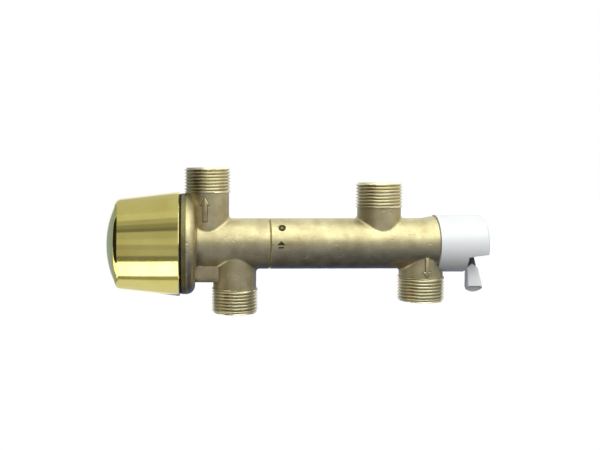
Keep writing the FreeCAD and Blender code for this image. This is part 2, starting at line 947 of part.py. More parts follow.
def throttle_ring(doc):
    """Fixed ring in the left casting's bore, between outlet and inlet."""
    left = size("throttle_x")
    right = left + size("throttle_thickness")
    outer = size("bore_radius") - size("seat_clearance")
    hole = size("throttle_hole")
    return turned(doc, "throttle_ring", [
        (left, hole + size("throttle_lead")),
        (left, outer),
        (right, outer),
        (right, hole),
        (left + size("throttle_lead"), hole),
    ])


def guide_bush(doc):
    """Flanged bush in the bulkhead behind the diaphragm."""
    wall_x = size("bulkhead_x")
    right = wall_x + size("bulkhead_wall") + size("bush_nose")
    left = wall_x - size("bush_flange_thickness")
    hole = size("spindle_radius") + size("running_gap")
    outer = size("bush_radius") - size("seat_clearance")
    return turned(doc, "guide_bush", [
        (left, hole),
        (left, size("bush_flange")),
        (wall_x, size("bush_flange")),
        (wall_x, outer),
        (right - size("edge_break"), outer),
        (right, outer - size("edge_break")),
        (right, hole),
    ])


def gland_floor_x():
    """Floor of the gland's counterbore in the spigot."""
    spigot_end = size("joint_x") + size("spigot_length")
    return spigot_end - size("gland_wall") + size("gland_lip")


def gland_bush(doc):
    """Bush pressed into the gland behind the stem ring."""
    left = gland_floor_x() + size("stem_ring_section") * 2 + size("free_gap")
    right = size("joint_x") + size("spigot_length")
    hole = size("spindle_radius") + size("running_gap")
    outer = size("bush_radius") - size("seat_clearance")
    return turned(doc, "gland_bush", [
        (left, hole),
        (left, outer),
        (right - size("edge_break"), outer),
        (right, outer - size("edge_break")),
        (right, hole),
    ])


def rubber_ring(doc, label, x, ring_radius, section):
    """A moulded ring of round section about the main axis."""
    ring = doc.addObject("Part::Torus", label)
    ring.Label = label
    ring.setExpression("Radius1", ring_radius.formula)
    ring.setExpression("Radius2", section.formula)
    ring.Placement = FreeCAD.Placement(
        FreeCAD.Vector(x.value, 0, size("axis_height").value),
        FreeCAD.Rotation(FreeCAD.Vector(0, 1, 0), 90),
    )
    ring.setExpression("Placement.Base.x", x.formula)
    ring.setExpression("Placement.Base.z", size("axis_height").formula)
    return ring


def stem_ring(doc):
    """Ring that seals the spindle between the two waters."""
    section = size("stem_ring_section")
    middle = (size("spindle_radius") + size("bush_radius")) / 2
    return rubber_ring(doc, "stem_ring", gland_floor_x() + section + size("seat_clearance"), middle, section)


def joint_ring(doc):
    """Ring that seals the spigot in its socket."""
    start, end, floor = joint_ring_groove()
    section = size("body_ring_section")
    middle = floor + section + size("running_gap") / 2
    return rubber_ring(doc, "joint_ring", (start + end) / 2, middle, section)


def valve_seat(doc):
    """Ring against the partition, with a raised rim towards the seal."""
    left = size("partition_x") + size("partition_wall")
    right = left + size("seat_thickness")
    outer = size("bore_radius") - size("seat_clearance")
    hole = size("seat_hole")
    rim = hole + size("seat_rim_width")
    rim_x = right - size("seat_rim_height")
    return turned(doc, "valve_seat", [
        (left, hole),
        (left, outer),
        (rim_x, outer),
        (rim_x, rim + size("seat_rim_slope")),
        (right, rim),
        (right, hole),
    ])


def valve_seal(doc):
    """Flat rubber washer that shuts on the seat."""
    left = valve_seal_x()
    right = left + size("seal_thickness")
    hole = size("spindle_stud_radius") + size("seat_clearance")
    return turned(doc, "valve_seal", [
        (left, hole),
        (left, size("seal_radius")),
        (right, size("seal_radius")),
        (right, hole),
    ])


def valve_cone(doc):
    """Cup that holds the seal and carries the spring."""
    left = valve_seal_x()
    seal_end = left + size("seal_thickness")
    right = seal_end + size("cone_thickness")
    hole = size("spindle_stud_radius") + size("seat_clearance")
    seal_r = size("seal_radius") + size("seat_clearance")
    outer = seal_r + size("cone_lip")
    shoulder = size("spring_radius") - size("spring_wire") - size("free_gap")
    lip_x = left + size("cone_lip_inset")
    return turned(doc, "valve_cone", [
        (seal_end, hole),
        (seal_end, seal_r),
        (lip_x, seal_r),
        (lip_x, outer),
        (spring_left_x(), outer),
        (spring_left_x(), shoulder),
        (right, shoulder - size("edge_break")),
        (right, hole),
    ])


def cone_nut_x():
    """The cone's face that its nut bears on."""
    return valve_seal_x() + size("seal_thickness") + size("cone_thickness")


def spring_left_x():
    """The shoulder on the cone that the spring bears on."""
    return cone_nut_x() - size("cone_shoulder")


def return_spring(doc):
    """Compression spring from the valve cone to the spring cup."""
    wire = size("spring_wire")
    start = spring_left_x() + wire + size("seat_clearance")
    end = cup_x() - wire - size("seat_clearance")
    helix = doc.addObject("Part::Helix", "spring_line")
    helix.setExpression("Pitch", ((end - start) / size("spring_turns")).formula)
    helix.setExpression("Height", (end - start).formula)
    helix.setExpression("Radius", size("spring_radius").formula)
    section = doc.addObject("Part::Circle", "spring_section")
    section.setExpression("Radius", wire.formula)
    section.Placement = FreeCAD.Placement(
        FreeCAD.Vector(size("spring_radius").value, 0, 0), FreeCAD.Rotation(FreeCAD.Vector(1, 0, 0), 90)
    )
    section.setExpression("Placement.Base.x", size("spring_radius").formula)
    doc.recompute()
    spring = doc.addObject("Part::Sweep", "return_spring")
    spring.Label = "return_spring"
    spring.Sections = [section]
    turns = [f"Edge{number}" for number in range(1, len(helix.Shape.Edges) + 1)]
    spring.Spine = (helix, turns)
    spring.Solid = True
    spring.Frenet = True
    spring.Placement = FreeCAD.Placement(
        FreeCAD.Vector(start.value, 0, size("axis_height").value),
        FreeCAD.Rotation(FreeCAD.Vector(0, 1, 0), 90),
    )
    spring.setExpression("Placement.Base.x", start.formula)
    spring.setExpression("Placement.Base.z", size("axis_height").formula)
    return spring


def bonnet(doc):
    """Hollow screw plug in the right casting's end, with the spring inside it."""
    body = new_body(doc, "bonnet")
    end = size("body_end_x")
    left = end - size("bonnet_seat_depth") + size("free_gap")
    outer = size("bonnet_radius")
    flange_end = end + size("bonnet_flange_thickness")
    right = bonnet_end_x()
    wall_x = right - size("bonnet_end_wall")
    hole = size("screw_radius") + size("running_gap")
    start, groove_end, floor = bonnet_ring_groove()
    ring_half = size("screw_ring_section") + size("seat_clearance")
    ring_x = screw_ring_x()
    edge = size("edge_break")
    ring_r = size("screw_radius") + size("screw_ring_section") * 2 + size("running_gap") * 2
    turn_feature(body, "PartDesign::Revolution", "bonnet_turned", [
        (left, size("bonnet_bore")),
        (left, outer - edge),
        (left + edge, outer),
        (start, outer),
        (start, floor),
        (groove_end, floor),
        (groove_end, outer),
        (end, outer),
        (end, size("bonnet_flange_radius")),
        (flange_end, size("bonnet_flange_radius")),
        (flange_end, outer),
        (right - edge, outer),
        (right, outer - edge),
        (right, hole),
        (ring_x + ring_half, hole),
        (ring_x + ring_half, ring_r),
        (ring_x - ring_half, ring_r),
        (ring_x - ring_half, hole),
        (wall_x, hole),
        (wall_x, size("bonnet_bore")),
    ])
    half = size("key_width") / 2 + size("free_gap") / 2
    top = size("cup_radius") + size("key_height") + size("free_gap")
    outline_feature(body, "PartDesign::Pocket", "bonnet_keyway", "YZ_Plane", [
        (-half, 0),
        (half, 0),
        (half, top),
        (-half, top),
    ], left, wall_x - left, True)
    return body


def bonnet_ring_groove():
    """Start, end and floor of the groove for the bonnet's ring."""
    end = size("body_end_x") - size("ring_groove_inset")
    start = end - size("ring_groove_width")
    floor = size("bonnet_radius") - size("body_ring_section") * 2
    return start, end, floor


def bonnet_ring(doc):
    """Ring that seals the bonnet in the casting."""
    start, end, floor = bonnet_ring_groove()
    section = size("body_ring_section")
    middle = floor + section + size("running_gap") / 2
    return rubber_ring(doc, "bonnet_ring", (start + end) / 2, middle, section)


def screw_ring_x():
    """Middle of the setting screw's seal in the bonnet's end wall."""
    return bonnet_end_x() - size("bonnet_end_wall") / 2


def screw_ring(doc):
    """Ring that seals the setting screw in the bonnet's end wall."""
    section = size("screw_ring_section")
    middle = size("screw_radius") + section + size("running_gap")
    return rubber_ring(doc, "screw_ring", screw_ring_x(), middle, section)


def setting_screw(doc):
    """Screw that the handle turns: thread in the spring cup, collar, plain neck, square end."""
    body = new_body(doc, "setting_screw")
    collar_end = bonnet_end_x() - size("bonnet_end_wall") - size("seat_clearance")
    collar_x = collar_end - size("screw_collar")
    left = collar_x - size("screw_thread_length")
    neck_end = handle_step_x() - size("handle_web")
    rod = size("screw_radius")
    edge = size("edge_break")
    turn_feature(body, "PartDesign::Revolution", "screw_turned", [
        (left, 0),
        (left, rod - edge),
        (left + edge, rod),
        (collar_x, rod),
        (collar_x, size("screw_collar_radius")),
        (collar_end, size("screw_collar_radius")),
        (collar_end, rod),
        (neck_end, rod),
        (neck_end, 0),
    ])
    half = size("screw_square") / 2
    outline_feature(body, "PartDesign::Pad", "screw_square_end", "YZ_Plane", [
        (-half, -half),
        (half, -half),
        (half, half),
        (-half, half),
    ], neck_end, screw_end_x() - neck_end, True)
    tap_depth = size("screw_tap_depth")
    round_feature(
        body, "PartDesign::Pocket", "screw_tapping", "YZ_Plane", (0, 0),
        size("handle_screw_radius") + size("seat_clearance"), screw_end_x() - tap_depth, tap_depth, True,
    )
    return body


def screw_end_x():
    """End of the setting screw's square inside the handle's hub."""
    return handle_step_x() + size("screw_square_reach")


def spring_cup(doc):
    """Nut on the setting screw that carries the spring's far end, kept from turning by a key."""
    body = new_body(doc, "spring_cup")
    left = cup_x()
    right = left + size("cup_length")
    hole = size("screw_radius") + size("running_gap")
    spigot = size("spring_radius") - size("spring_wire") - size("free_gap")
    turn_feature(body, "PartDesign::Revolution", "cup_turned", [
        (left - size("cup_spigot"), hole),
        (left - size("cup_spigot"), spigot - size("edge_break")),
        (left, spigot),
        (left, size("cup_radius")),
        (right, size("cup_radius")),
        (right, hole),
    ])
    half = size("key_width") / 2
    root = size("cup_radius") - size("overrun")
    top = size("cup_radius") + size("key_height")
    outline_feature(body, "PartDesign::Pad", "cup_key", "YZ_Plane", [
        (-half, root),
        (half, root),
        (half, top),
        (-half, top),
    ], left, size("cup_length"), True)
    return body


def bonnet_end_x():
    """The bonnet's outer end, inside the handle."""
    return size("body_end_x") + size("bonnet_reach")


def cup_x():
    """The spring cup's face, just inside the body's end."""
    return size("body_end_x") - size("cup_inset")


def handle_step_x():
    """Where the handle's skirt ends and its upper half goes on alone."""
    return size("body_end_x") + size("handle_skirt")


def handle_end_x():
    """The handle's outer end."""
    return size("body_end_x") + size("handle_reach")


def fork_x():
    """Middle of the forked stem under the handle."""
    return size("body_end_x") + size("fork_reach")


def setting_handle(doc):
    """White moulded cap: round skirt over the bonnet, stepped end, socket for the finger lever."""
    body = new_body(doc, "setting_handle")
    left = size("body_end_x") + size("free_gap")
    right = handle_end_x()
    outer = size("handle_radius")
    step = handle_step_x()
    turn_feature(body, "PartDesign::Revolution", "handle_blank", [
        (left, 0),
        (left, outer),
        (right, outer),
        (right, 0),
    ])
    doc.recompute()
    edge = circle_edges(body.Tip.Shape, right, outer)
    round_edges(body, "handle_end_round", edge, size("handle_edge"))
    beyond = outer + size("overrun")
    drop = size("handle_step_drop")
    outline_feature(body, "PartDesign::Pocket", "handle_step", "YZ_Plane", [
        (-beyond, -beyond),
        (beyond, -beyond),
        (beyond, -drop),
        (-beyond, -drop),
    ], step, right - step + size("overrun"), True)
    inner = outer - size("handle_wall")
    floor = step - size("handle_web")
    bevel = size("handle_inner_chamfer")
    head_r = size("handle_screw_head") + size("free_gap")
    shaft_r = size("handle_screw_radius") + size("free_gap")
    square_end = screw_end_x() + size("free_gap")
    head_x = handle_screw_x()
    turn_feature(body, "PartDesign::Groove", "handle_hollow", [
        (left, 0),
        (left, inner),
        (floor - bevel, inner),
        (floor, inner - bevel),
        (floor, 0),
    ])
    half = size("screw_square") / 2 + size("running_gap")
    outline_feature(body, "PartDesign::Pocket", "handle_square", "YZ_Plane", [
        (-half, -half),
        (half, -half),
        (half, half),
        (-half, half),
    ], floor, square_end - floor, True)
    round_feature(
        body, "PartDesign::Pocket", "handle_screw_hole", "YZ_Plane", (0, 0), shaft_r, square_end,
        right - square_end, True,
    )
    round_feature(
        body, "PartDesign::Pocket", "handle_screw_recess", "YZ_Plane", (0, 0), head_r, head_x,
        right - head_x, True,
    )
    socket_half = size("fork_top_width") / 2 + size("seat_clearance")
    depth_half = size("fork_depth") / 2 + size("seat_clearance")
    stem_x = fork_x()
    outline_feature(body, "PartDesign::Pocket", "handle_fork_socket", "XZ_Plane", [
        (stem_x - socket_half, -drop - size("overrun")),
        (stem_x + socket_half, -drop - size("overrun")),
        (stem_x + socket_half, size("fork_socket") - drop),
        (stem_x - socket_half, size("fork_socket") - drop),
    ], -depth_half, depth_half * 2, True)
    return body


def handle_screw_x():
    """The recess floor that the handle screw's head bears on."""
    return handle_end_x() - size("handle_screw_head_height") - size("handle_screw_sink")


def handle_screw(doc):
    """Pan head screw that holds the handle on the setting screw."""
    body = new_body(doc, "handle_screw")
    head_x = handle_screw_x()
    tip_x = screw_end_x() - size("handle_screw_bite")
    shaft = size("handle_screw_radius")
    head = size("handle_screw_head")
    dome = size("handle_screw_dome")
    edge = size("edge_break")
    top = head_x + size("handle_screw_head_height")
    turn_feature(body, "PartDesign::Revolution", "handle_screw_turned", [
        (tip_x, 0),
        (tip_x, shaft - edge),
        (tip_x + edge, shaft),
        (head_x, shaft),
        (head_x, head),
        (top - dome, head),
        (top, head - dome),
        (top, 0),
    ])
    return body


def handle_fork(doc):
    """Dark forked stem between the handle and the grip, with a tongue into the grip."""
    body = new_body(doc, "handle_fork")
    x = fork_x()
    top = size("fork_socket") - size("handle_step_drop") - size("seat_clearance")
    neck = -size("handle_step_drop")
    half_top = size("fork_top_width") / 2
    half_foot = size("fork_spread") / 2
    half_tongue = size("fork_tongue_width") / 2
    tip = -size("fork_tongue_drop")
    outline_feature(body, "PartDesign::Pad", "fork_plate", "XZ_Plane", [
        (x - half_top, top),
        (x - half_top, neck),
        (x - half_foot, fork_underside(half_foot)),
        (x - half_tongue, fork_underside(half_tongue)),
        (x - half_tongue, tip),
        (x + half_tongue, tip),
        (x + half_tongue, fork_underside(half_tongue)),
        (x + half_foot, fork_underside(half_foot)),
        (x + half_top, neck),
        (x + half_top, top),
    ], -(size("fork_depth") / 2), size("fork_depth"), True)
    return body


def gable(distance):
    """Height of the grip's gabled top at a distance from its ridge."""
    return -size("grip_top_drop") - size("grip_gable_slope") * distance


def fork_underside(distance):
    """Height of the fork's legs, just clear of the gable they sit on."""
    return gable(distance) + size("seat_clearance")


def handle_grip(doc):
    """White finger grip with a gabled top that the fork sits on, wider towards its round end."""
    body = new_body(doc, "handle_grip")
    ridge_x = fork_x()
    left = ridge_x - size("grip_left")
    right = ridge_x + size("grip_right")
    foot_left = left + size("grip_lean")
    foot_right = right + size("grip_flare")
    sag = size("grip_end_sag")
    foot = sag - size("grip_end_drop")
    end_radius = dome_radius((foot_right - foot_left) / 2, sag)
    ridge = gable(as_size(0.0))
    right_shoulder = gable(size("grip_right"))
    outline_feature(body, "PartDesign::Pad", "grip_blank", "XZ_Plane", [
        (ridge_x, ridge),
        (left, gable(size("grip_left"))),
        (foot_left, foot, Arc(end_radius, 1)),
        (foot_right, foot),
        (right, right_shoulder),
    ], -(size("grip_depth") / 2), size("grip_depth"), True)
    doc.recompute()
    rounded = []
    gable_middle = (ridge.value + right_shoulder.value) / 2
    for number, edge in enumerate(body.Tip.Shape.Edges, start=1):
        if edge.BoundBox.ZMax < gable_middle:
            rounded.append(f"Edge{number}")
    round_edges(body, "grip_edge_round", rounded, size("grip_round"))
    half_slot = size("fork_tongue_width") / 2 + size("seat_clearance")
    half_depth = size("fork_depth") / 2 + size("seat_clearance")
    tip = -size("fork_tongue_drop") - size("seat_clearance")
    slot_top = ridge + size("overrun")
    outline_feature(body, "PartDesign::Pocket", "grip_slot", "XZ_Plane", [
        (ridge_x - half_slot, tip),
        (ridge_x + half_slot, tip),
        (ridge_x + half_slot, slot_top),
        (ridge_x - half_slot, slot_top),
    ], -half_depth, half_depth * 2, True)
    return body


PIECES = (
    secondary_body,
    primary_body,
    lock_pin,
    diaphragm_cover,
    cover_gasket,
    diaphragm,
    clamp_ring,
    spindle,
    throttle_cone,
    throttle_clip,
    throttle_ring,
    guide_bush,
    gland_bush,
    stem_ring,
    joint_ring,
    valve_seat,
    valve_seal,
    valve_cone,
    return_spring,
    bonnet,
    bonnet_ring,
    screw_ring,
    setting_screw,
    spring_cup,
    setting_handle,
    handle_screw,
    handle_fork,
    handle_grip,
)


def build(doc):
    """Make every piece and return the document objects that become files."""
    pieces = [make(doc) for make in PIECES]
    right_grip = clamp_ring_x() + size("diaphragm_thickness")
    pieces.append(spindle_plate(doc, "front_plate", clamp_ring_x(), -1.0))
    pieces.append(spindle_plate(doc, "back_plate", right_grip, 1.0))
    stud_hole = size("spindle_stud_radius") + size("running_gap")
    pieces.append(hex_nut(
        doc, "spindle_nut", spindle_nut_x() - size("nut_height"), size("nut_height"),
        size("nut_across_flats"), stud_hole,
    ))
    pieces.append(hex_nut(
        doc, "cone_nut", cone_nut_x(), size("cone_nut_height"), size("cone_nut_flats"), stud_hole,
    ))
    doc.recompute()
    return pieces


def check(doc, pieces):
    """Stop if any object failed or any piece is not one or more sound solids."""
    for item in doc.Objects:
        if "Invalid" in item.State or "Error" in item.State:
            raise RuntimeError(f"{item.Label} failed: {item.State}")
    for piece in pieces:
        shape = piece.Shape
        if shape.isNull() or not shape.isValid() or not shape.Solids:
            raise RuntimeError(f"{piece.Label} is not a sound solid")


def main():
    doc = FreeCAD.newDocument("regulator")
    make_sheet(doc)
    pieces = build(doc)
    check(doc, pieces)
    os.makedirs("parts", exist_ok=True)
    for piece in pieces:
        piece.Shape.exportStep(os.path.join("parts", piece.Label + ".step"))
        print(piece.Label, len(piece.Shape.Solids), round(piece.Shape.Volume, 2))


main()
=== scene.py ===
"""Looks of a hot water pressure regulator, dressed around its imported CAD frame."""

import math

import bmesh
import bpy
from bpy.props import FloatProperty, FloatVectorProperty, IntProperty, PointerProperty
from mathutils import Matrix, Vector
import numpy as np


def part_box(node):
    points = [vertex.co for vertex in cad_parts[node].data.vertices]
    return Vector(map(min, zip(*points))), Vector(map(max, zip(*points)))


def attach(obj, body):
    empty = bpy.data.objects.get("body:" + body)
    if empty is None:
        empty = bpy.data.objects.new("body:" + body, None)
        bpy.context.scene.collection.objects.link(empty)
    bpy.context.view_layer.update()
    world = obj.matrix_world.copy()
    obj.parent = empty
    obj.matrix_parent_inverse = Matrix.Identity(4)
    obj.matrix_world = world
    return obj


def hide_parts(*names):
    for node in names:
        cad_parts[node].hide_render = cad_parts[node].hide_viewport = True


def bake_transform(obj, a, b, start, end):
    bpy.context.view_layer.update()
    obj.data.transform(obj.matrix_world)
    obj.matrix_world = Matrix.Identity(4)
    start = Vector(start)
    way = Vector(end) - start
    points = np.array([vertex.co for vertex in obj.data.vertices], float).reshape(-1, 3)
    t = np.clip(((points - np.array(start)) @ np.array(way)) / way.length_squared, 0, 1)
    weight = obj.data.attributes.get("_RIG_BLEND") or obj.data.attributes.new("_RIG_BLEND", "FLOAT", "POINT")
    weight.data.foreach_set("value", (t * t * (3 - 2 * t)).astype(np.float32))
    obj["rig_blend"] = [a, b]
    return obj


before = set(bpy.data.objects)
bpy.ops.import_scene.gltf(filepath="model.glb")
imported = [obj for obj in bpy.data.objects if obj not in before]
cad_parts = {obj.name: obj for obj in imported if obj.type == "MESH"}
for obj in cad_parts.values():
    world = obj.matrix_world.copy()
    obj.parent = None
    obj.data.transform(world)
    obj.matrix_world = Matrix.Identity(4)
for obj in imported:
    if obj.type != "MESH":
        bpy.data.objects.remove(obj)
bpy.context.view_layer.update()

bl_info = {
    "name": "Hot water pressure regulator",
    "version": (1, 0, 0),
    "blender": (4, 5, 0),
    "location": "3D View > Sidebar > Regulator",
    "description": "Dresses the CAD frame of a brass hot water regulator",
    "category": "Object",
}

MM = 0.001
AXIS_Z = 39.5 * MM

# How far from a plane a corner still counts as on it, in metres.
ON_PLANE = 1e-7
ON_FINE_PLANE = 1e-8

# Tints of the studio's cards.
WHITE = (1.0, 1.0, 1.0, 1.0)
LEMON = (0.95, 1.06, 1.08, 1.0)
COOL = (0.74, 0.94, 1.32, 1.0)
FAINTLY_COOL = (0.95, 1.0, 1.30, 1.0)
BLUE_SHADE = (0.64, 1.05, 2.80, 1.0)

# Ports, in millimetres: place along the main axis, where the thread starts, where it ends.
PORTS = {
    "inlet": (0.0, 14.0, 0.0),
    "outlet": (-15.6, 69.0, 83.0),
    "supply": (83.1, 60.5, 74.5),
    "return": (107.5, 20.5, 6.5),
}
CASTINGS = {
    "secondary_casting": ("secondary_body", ("inlet", "outlet")),
    "primary_casting": ("primary_body", ("supply", "return")),
}

# Angles up from the viewer's side, in degrees, over which the end lip's flare and the lowered lip set in.
FLARE_ANGLES = (-34, -4)
LOWERED_ANGLES = (-48, -38)

# Flow arrows, in millimetres: tail, shoulder and tip along the neck, half widths of shaft and head.
# The last value is the turn round the neck, in degrees.
ARROWS = {
    "outlet": (52.8, 61.8, 66.6, 1.3, 2.35, -7.0),
    "return": (32.2, 24.2, 20.6, 1.05, 2.3, 2.0),
}

# Stamped signs beside the joint, in millimetres along the tube and up round its front.
SIGNS = {
    "joint_triangle": [(23.1, 0.2), (27.9, 0.2), (25.5, 2.5)],
    "joint_bar": [(24.0, -1.6), (27.0, -1.6), (27.0, -0.8), (24.0, -0.8)],
}


def srgb(text):
    """Linear colour of an sRGB hex value."""
    parts = [int(text[i:i + 2], 16) / 255 for i in (1, 3, 5)]
    return (*(c / 12.92 if c <= 0.04045 else ((c + 0.055) / 1.055) ** 2.4 for c in parts), 1.0)


def length(name, description, millimetres):
    """A length that a user may change, in metres."""
    return FloatProperty(
        name=name, description=description, default=millimetres * MM, unit="LENGTH", precision=5)


def point(name, description, place):
    """A point that a user may change, in metres."""
    return FloatVectorProperty(
        name=name, description=description, default=place, subtype="XYZ", size=3, unit="LENGTH")


def colour(name, description, text):
    """A colour that a user may change."""
    return FloatVectorProperty(
        name=name, description=description, default=srgb(text), subtype="COLOR", size=4, min=0, max=1)


class RegulatorSizes(bpy.types.PropertyGroup):
    """Sizes of what the CAD frame leaves to the looks."""

    thread_pitch: length("Thread pitch", "Distance from crest to crest of the pipe threads", 1.814)
    thread_depth: length("Thread depth", "Height of a crest over the root", 1.16)
    thread_radius: length("Thread radius", "Radius over the crests", 13.22)
    thread_lead_in: length("Lead-in", "Chamfer at the end of a thread", 1.0)
    thread_ring: length("Thread ring", "Plain ring between the neck and the first crest", 0.25)
    port_bore: length("Port bore", "Radius of the water way in a port", 8.0)
    bore_edge: length("Bore edge", "Chamfer at the mouth of a port", 0.7)
    neck_radius: length("Neck radius", "Radius of the cast necks", 12.4)
    tube_radius: length("Tube radius", "Radius of the main tube", 14.5)
    cover_rim: length("Cover rim", "Radius of the cover at the gasket", 29.9)
    cover_nose: length("Cover nose", "Radius of the cover where its dome starts", 25.7)
    cover_round: length("Cover round", "Run of the rounding between the cone and the dome", 2.1)
    cover_run: length("Cover run", "Length of the cover's cone", 35.6)
    cover_chamfer: length("Cover chamfer", "Chamfer at the cover's rim", 0.4)
    cover_bore: length("Cover bore", "Radius of the cover's bore round the clamp ring", 26.2)
    cover_step: length("Cover step", "Inner radius of the step that meets the clamp ring", 23.55)
    hollow_ball: length("Hollow ball", "Radius of the ball that hollows the cover", 46.0)
    hollow_rim: length("Hollow rim", "Radius where that hollow ends", 22.3)
    dome_wall: length("Dome wall", "Wall in the middle of the dome", 4.6)
    lip_rise: length("Lip rise", "How far the right casting's end lip stands over the tube", 1.0)
    lip_end: length("Lip end", "Where the right casting's tube ends, along the main axis", 114.8)
    lip_width: length("Lip width", "Width of the end lip's crest", 1.1)
    flare_run: length("Flare run", "Length over which the tube flares to the end lip", 7.0)
    skirt_end: length("Skirt end", "Where the CAD handle's skirt ends, along the main axis", 129.3)
    skirt_gain: length("Skirt gain", "How much nearer the handle's skirt comes to the fork", 1.8)
    step_drop: length("Step drop", "How far the underside of the handle's end lies under the axis", 7.0)
    grip_gain: length("Grip gain", "How much slimmer the grip is on its left side", 1.4)
    grip_waist: length("Grip waist", "Width of the left side that is made slimmer", 2.2)
    grip_end: length("Grip end", "Height of the slanting face at the grip's end", 4.2)
    arrow_height: length("Arrow height", "How far the flow arrows stand proud", 0.8)
    sign_height: length("Sign height", "How far the stamped signs stand proud", 0.05)
    # Radius of the pale disc in the middle of the lock pin's end.
    pin_wear: length("Pin wear", "Radius of the bright spot on the lock pin's end", 0.9)
    plate_rim: length("Plate rim", "Radius of the plates that grip the diaphragm", 14.0)
    clamp_rim: length("Clamp rim", "Radius where the diaphragm's rim is clamped", 16.9)
    diaphragm_sectors: IntProperty(
        name="Diaphragm sectors", description="Sectors that the diaphragm bends in", default=16, min=8)
    turn_steps: IntProperty(name="Steps a turn", description="Steps of a full turn", default=96, min=24)


class RegulatorFinishes(bpy.types.PropertyGroup):
    """Colours of the finishes."""

    cast_brass: colour("Cast brass", "Shot-blasted casting", "#BDAF85")
    cast_stain: colour("Cast stain", "Darker places of the casting", "#A3936B")
    turned_brass: colour("Turned brass", "Threads and turned bores", "#E6DCB6")
    turned_shade: colour("Turned brass shade", "Browner film on turned brass", "#D6C8A0")
    # The faced brass is darkened to an olive: painted shade on the flange's rim beside the cover.
    faced_brass: colour("Faced brass", "Rim of the diaphragm flange", "#857A50")
    faced_shade: colour("Faced brass shade", "Darker tool lines of the rim", "#6E643F")
    # Colour of the brown film with painted shade in the roots, and of the painted shade on the plain ring.
    thread_film: colour("Thread film", "Brown film in the roots of the threads", "#54431F")
    polished_brass: colour("Polished brass", "Lacquered cover", "#F3E78E")
    polished_smear: colour("Polished brass smear", "Deeper lacquer on the cover", "#EADB7E")
    white_plastic: colour("White plastic", "Handle and grip", "#F2F3F2")
    white_shade: colour("White plastic shade", "Cooler places of the white plastic", "#EBEEEF")
    # The fork's dark grey is painted shade in the slot under the handle.
    dark_plastic: colour("Dark plastic", "Fork under the handle", "#5E6062")
    dark_shade: colour("Dark plastic shade", "Darker places of the fork", "#4A4C4E")
    black_rubber: colour("Black rubber", "Gaskets, rings and diaphragm", "#0E0D0C")
    rubber_dust: colour("Rubber dust", "Paler places of the rubber", "#1A1816")
    steel: colour("Steel", "Spindle, springs and screws", "#B9BABC")
    steel_shade: colour("Steel shade", "Darker tool lines of the steel", "#96979A")
    # Round the foot of the flow arrows, this oxide colour is painted shade.
    stamp: colour("Stamp", "Oxidised brass of the pin and the signs", "#4A3B1C")
    stamp_crust: colour("Stamp crust", "Blacker oxide", "#2A2010")


class RegulatorStage(bpy.types.PropertyGroup):
    """Camera, floor and light."""

    eye: point("Eye", "Where the camera stands", (-0.020, -0.480, 0.080))
    sight: point("Sight", "Point that the camera is turned to", (-0.010, 0.0, 0.062))
    middle: point("Middle", "Point in the middle of the picture", (0.0376, 0.0, 0.0501))
    picture_width: length("Picture width", "Width of the picture at the main axis", 345.0)
    floor_drop: length("Floor drop", "How far the floor lies under the part", 400.0)
    key_strength: FloatProperty(
        name="Key strength", description="Strength of the soft key light", default=2.7)
    key_softness: FloatProperty(
        name="Key softness", description="Angle that the key light covers", default=math.radians(60),
        subtype="ANGLE")
    fill_level: FloatProperty(name="Fill", description="Level of the soft light from all round", default=0.18)
    card_reach: length("Card reach", "How far the reflector cards stand from the main axis", 380.0)
    card_left: length("Cards' left end", "Where the cards start, beyond the cover", -240.0)
    card_split: length("Cards' split", "Where the cover's cards meet the tube's", -65.0)
    flag_left: length("Flag's left end", "Where the flag before the cover's white card starts", -112.0)
    card_right: length("Cards' right end", "Where the cards end, beyond the handle", 420.0)


# Materials

def add_node(tree, kind, inputs=None, **settings):
    """Adds a node with its settings, and sets or links its inputs."""
    node = tree.nodes.new(kind)
    for name, value in settings.items():
        setattr(node, name, value)
    for name, value in (inputs or {}).items():
        if isinstance(value, bpy.types.NodeSocket):
            tree.links.new(value, node.inputs[name])
        else:
            node.inputs[name].default_value = value
    return node


def new_tree(owner):
    """The empty node tree of a material or world."""
    owner.use_nodes = True
    owner.node_tree.nodes.clear()
    return owner.node_tree


def surface(name, tones, sizes_mm, gloss, relief_mm, stretch=(1.0, 1.0, 1.0), **constants):
    """A finish of two tones, mixed by a broad pattern, with gloss and relief from a fine, stretched one."""
    material = bpy.data.materials.new(name)
    tree = new_tree(material)
    broad_mm, fine_mm = sizes_mm
    place = add_node(tree, "ShaderNodeTexCoord").outputs["Object"]
    drawn = add_node(tree, "ShaderNodeMapping", {"Vector": place, "Scale": stretch})
    broad = add_node(tree, "ShaderNodeTexNoise", {
        "Vector": place, "Scale": 1 / (broad_mm * MM), "Detail": 3.0})
    fine = add_node(tree, "ShaderNodeTexNoise", {
        "Vector": drawn.outputs["Vector"], "Scale": 1 / (fine_mm * MM), "Detail": 2.0})
    share = add_node(tree, "ShaderNodeMapRange", {
        "Value": broad.outputs["Fac"], "From Min": 0.32, "From Max": 0.68})
    tone = add_node(tree, "ShaderNodeMix", {
        "Factor": share.outputs["Result"], 6: tones[0], 7: tones[1]}, data_type="RGBA")
    rough = add_node(tree, "ShaderNodeMapRange", {
        "Value": fine.outputs["Fac"], "From Min": 0.3, "From Max": 0.7,
        "To Min": gloss[0], "To Max": gloss[1]})
    relief = add_node(tree, "ShaderNodeBump", {"Height": fine.outputs["Fac"], "Distance": relief_mm * MM})
    shader = add_node(tree, "ShaderNodeBsdfPrincipled", {
        "Base Color": tone.outputs[2], "Roughness": rough.outputs["Result"],
        "Normal": relief.outputs["Normal"], **constants})
    add_node(tree, "ShaderNodeOutputMaterial", {"Surface": shader.outputs["BSDF"]})
    return material, {"place": place, "fine": fine, "tone": tone, "relief": relief, "shader": shader}


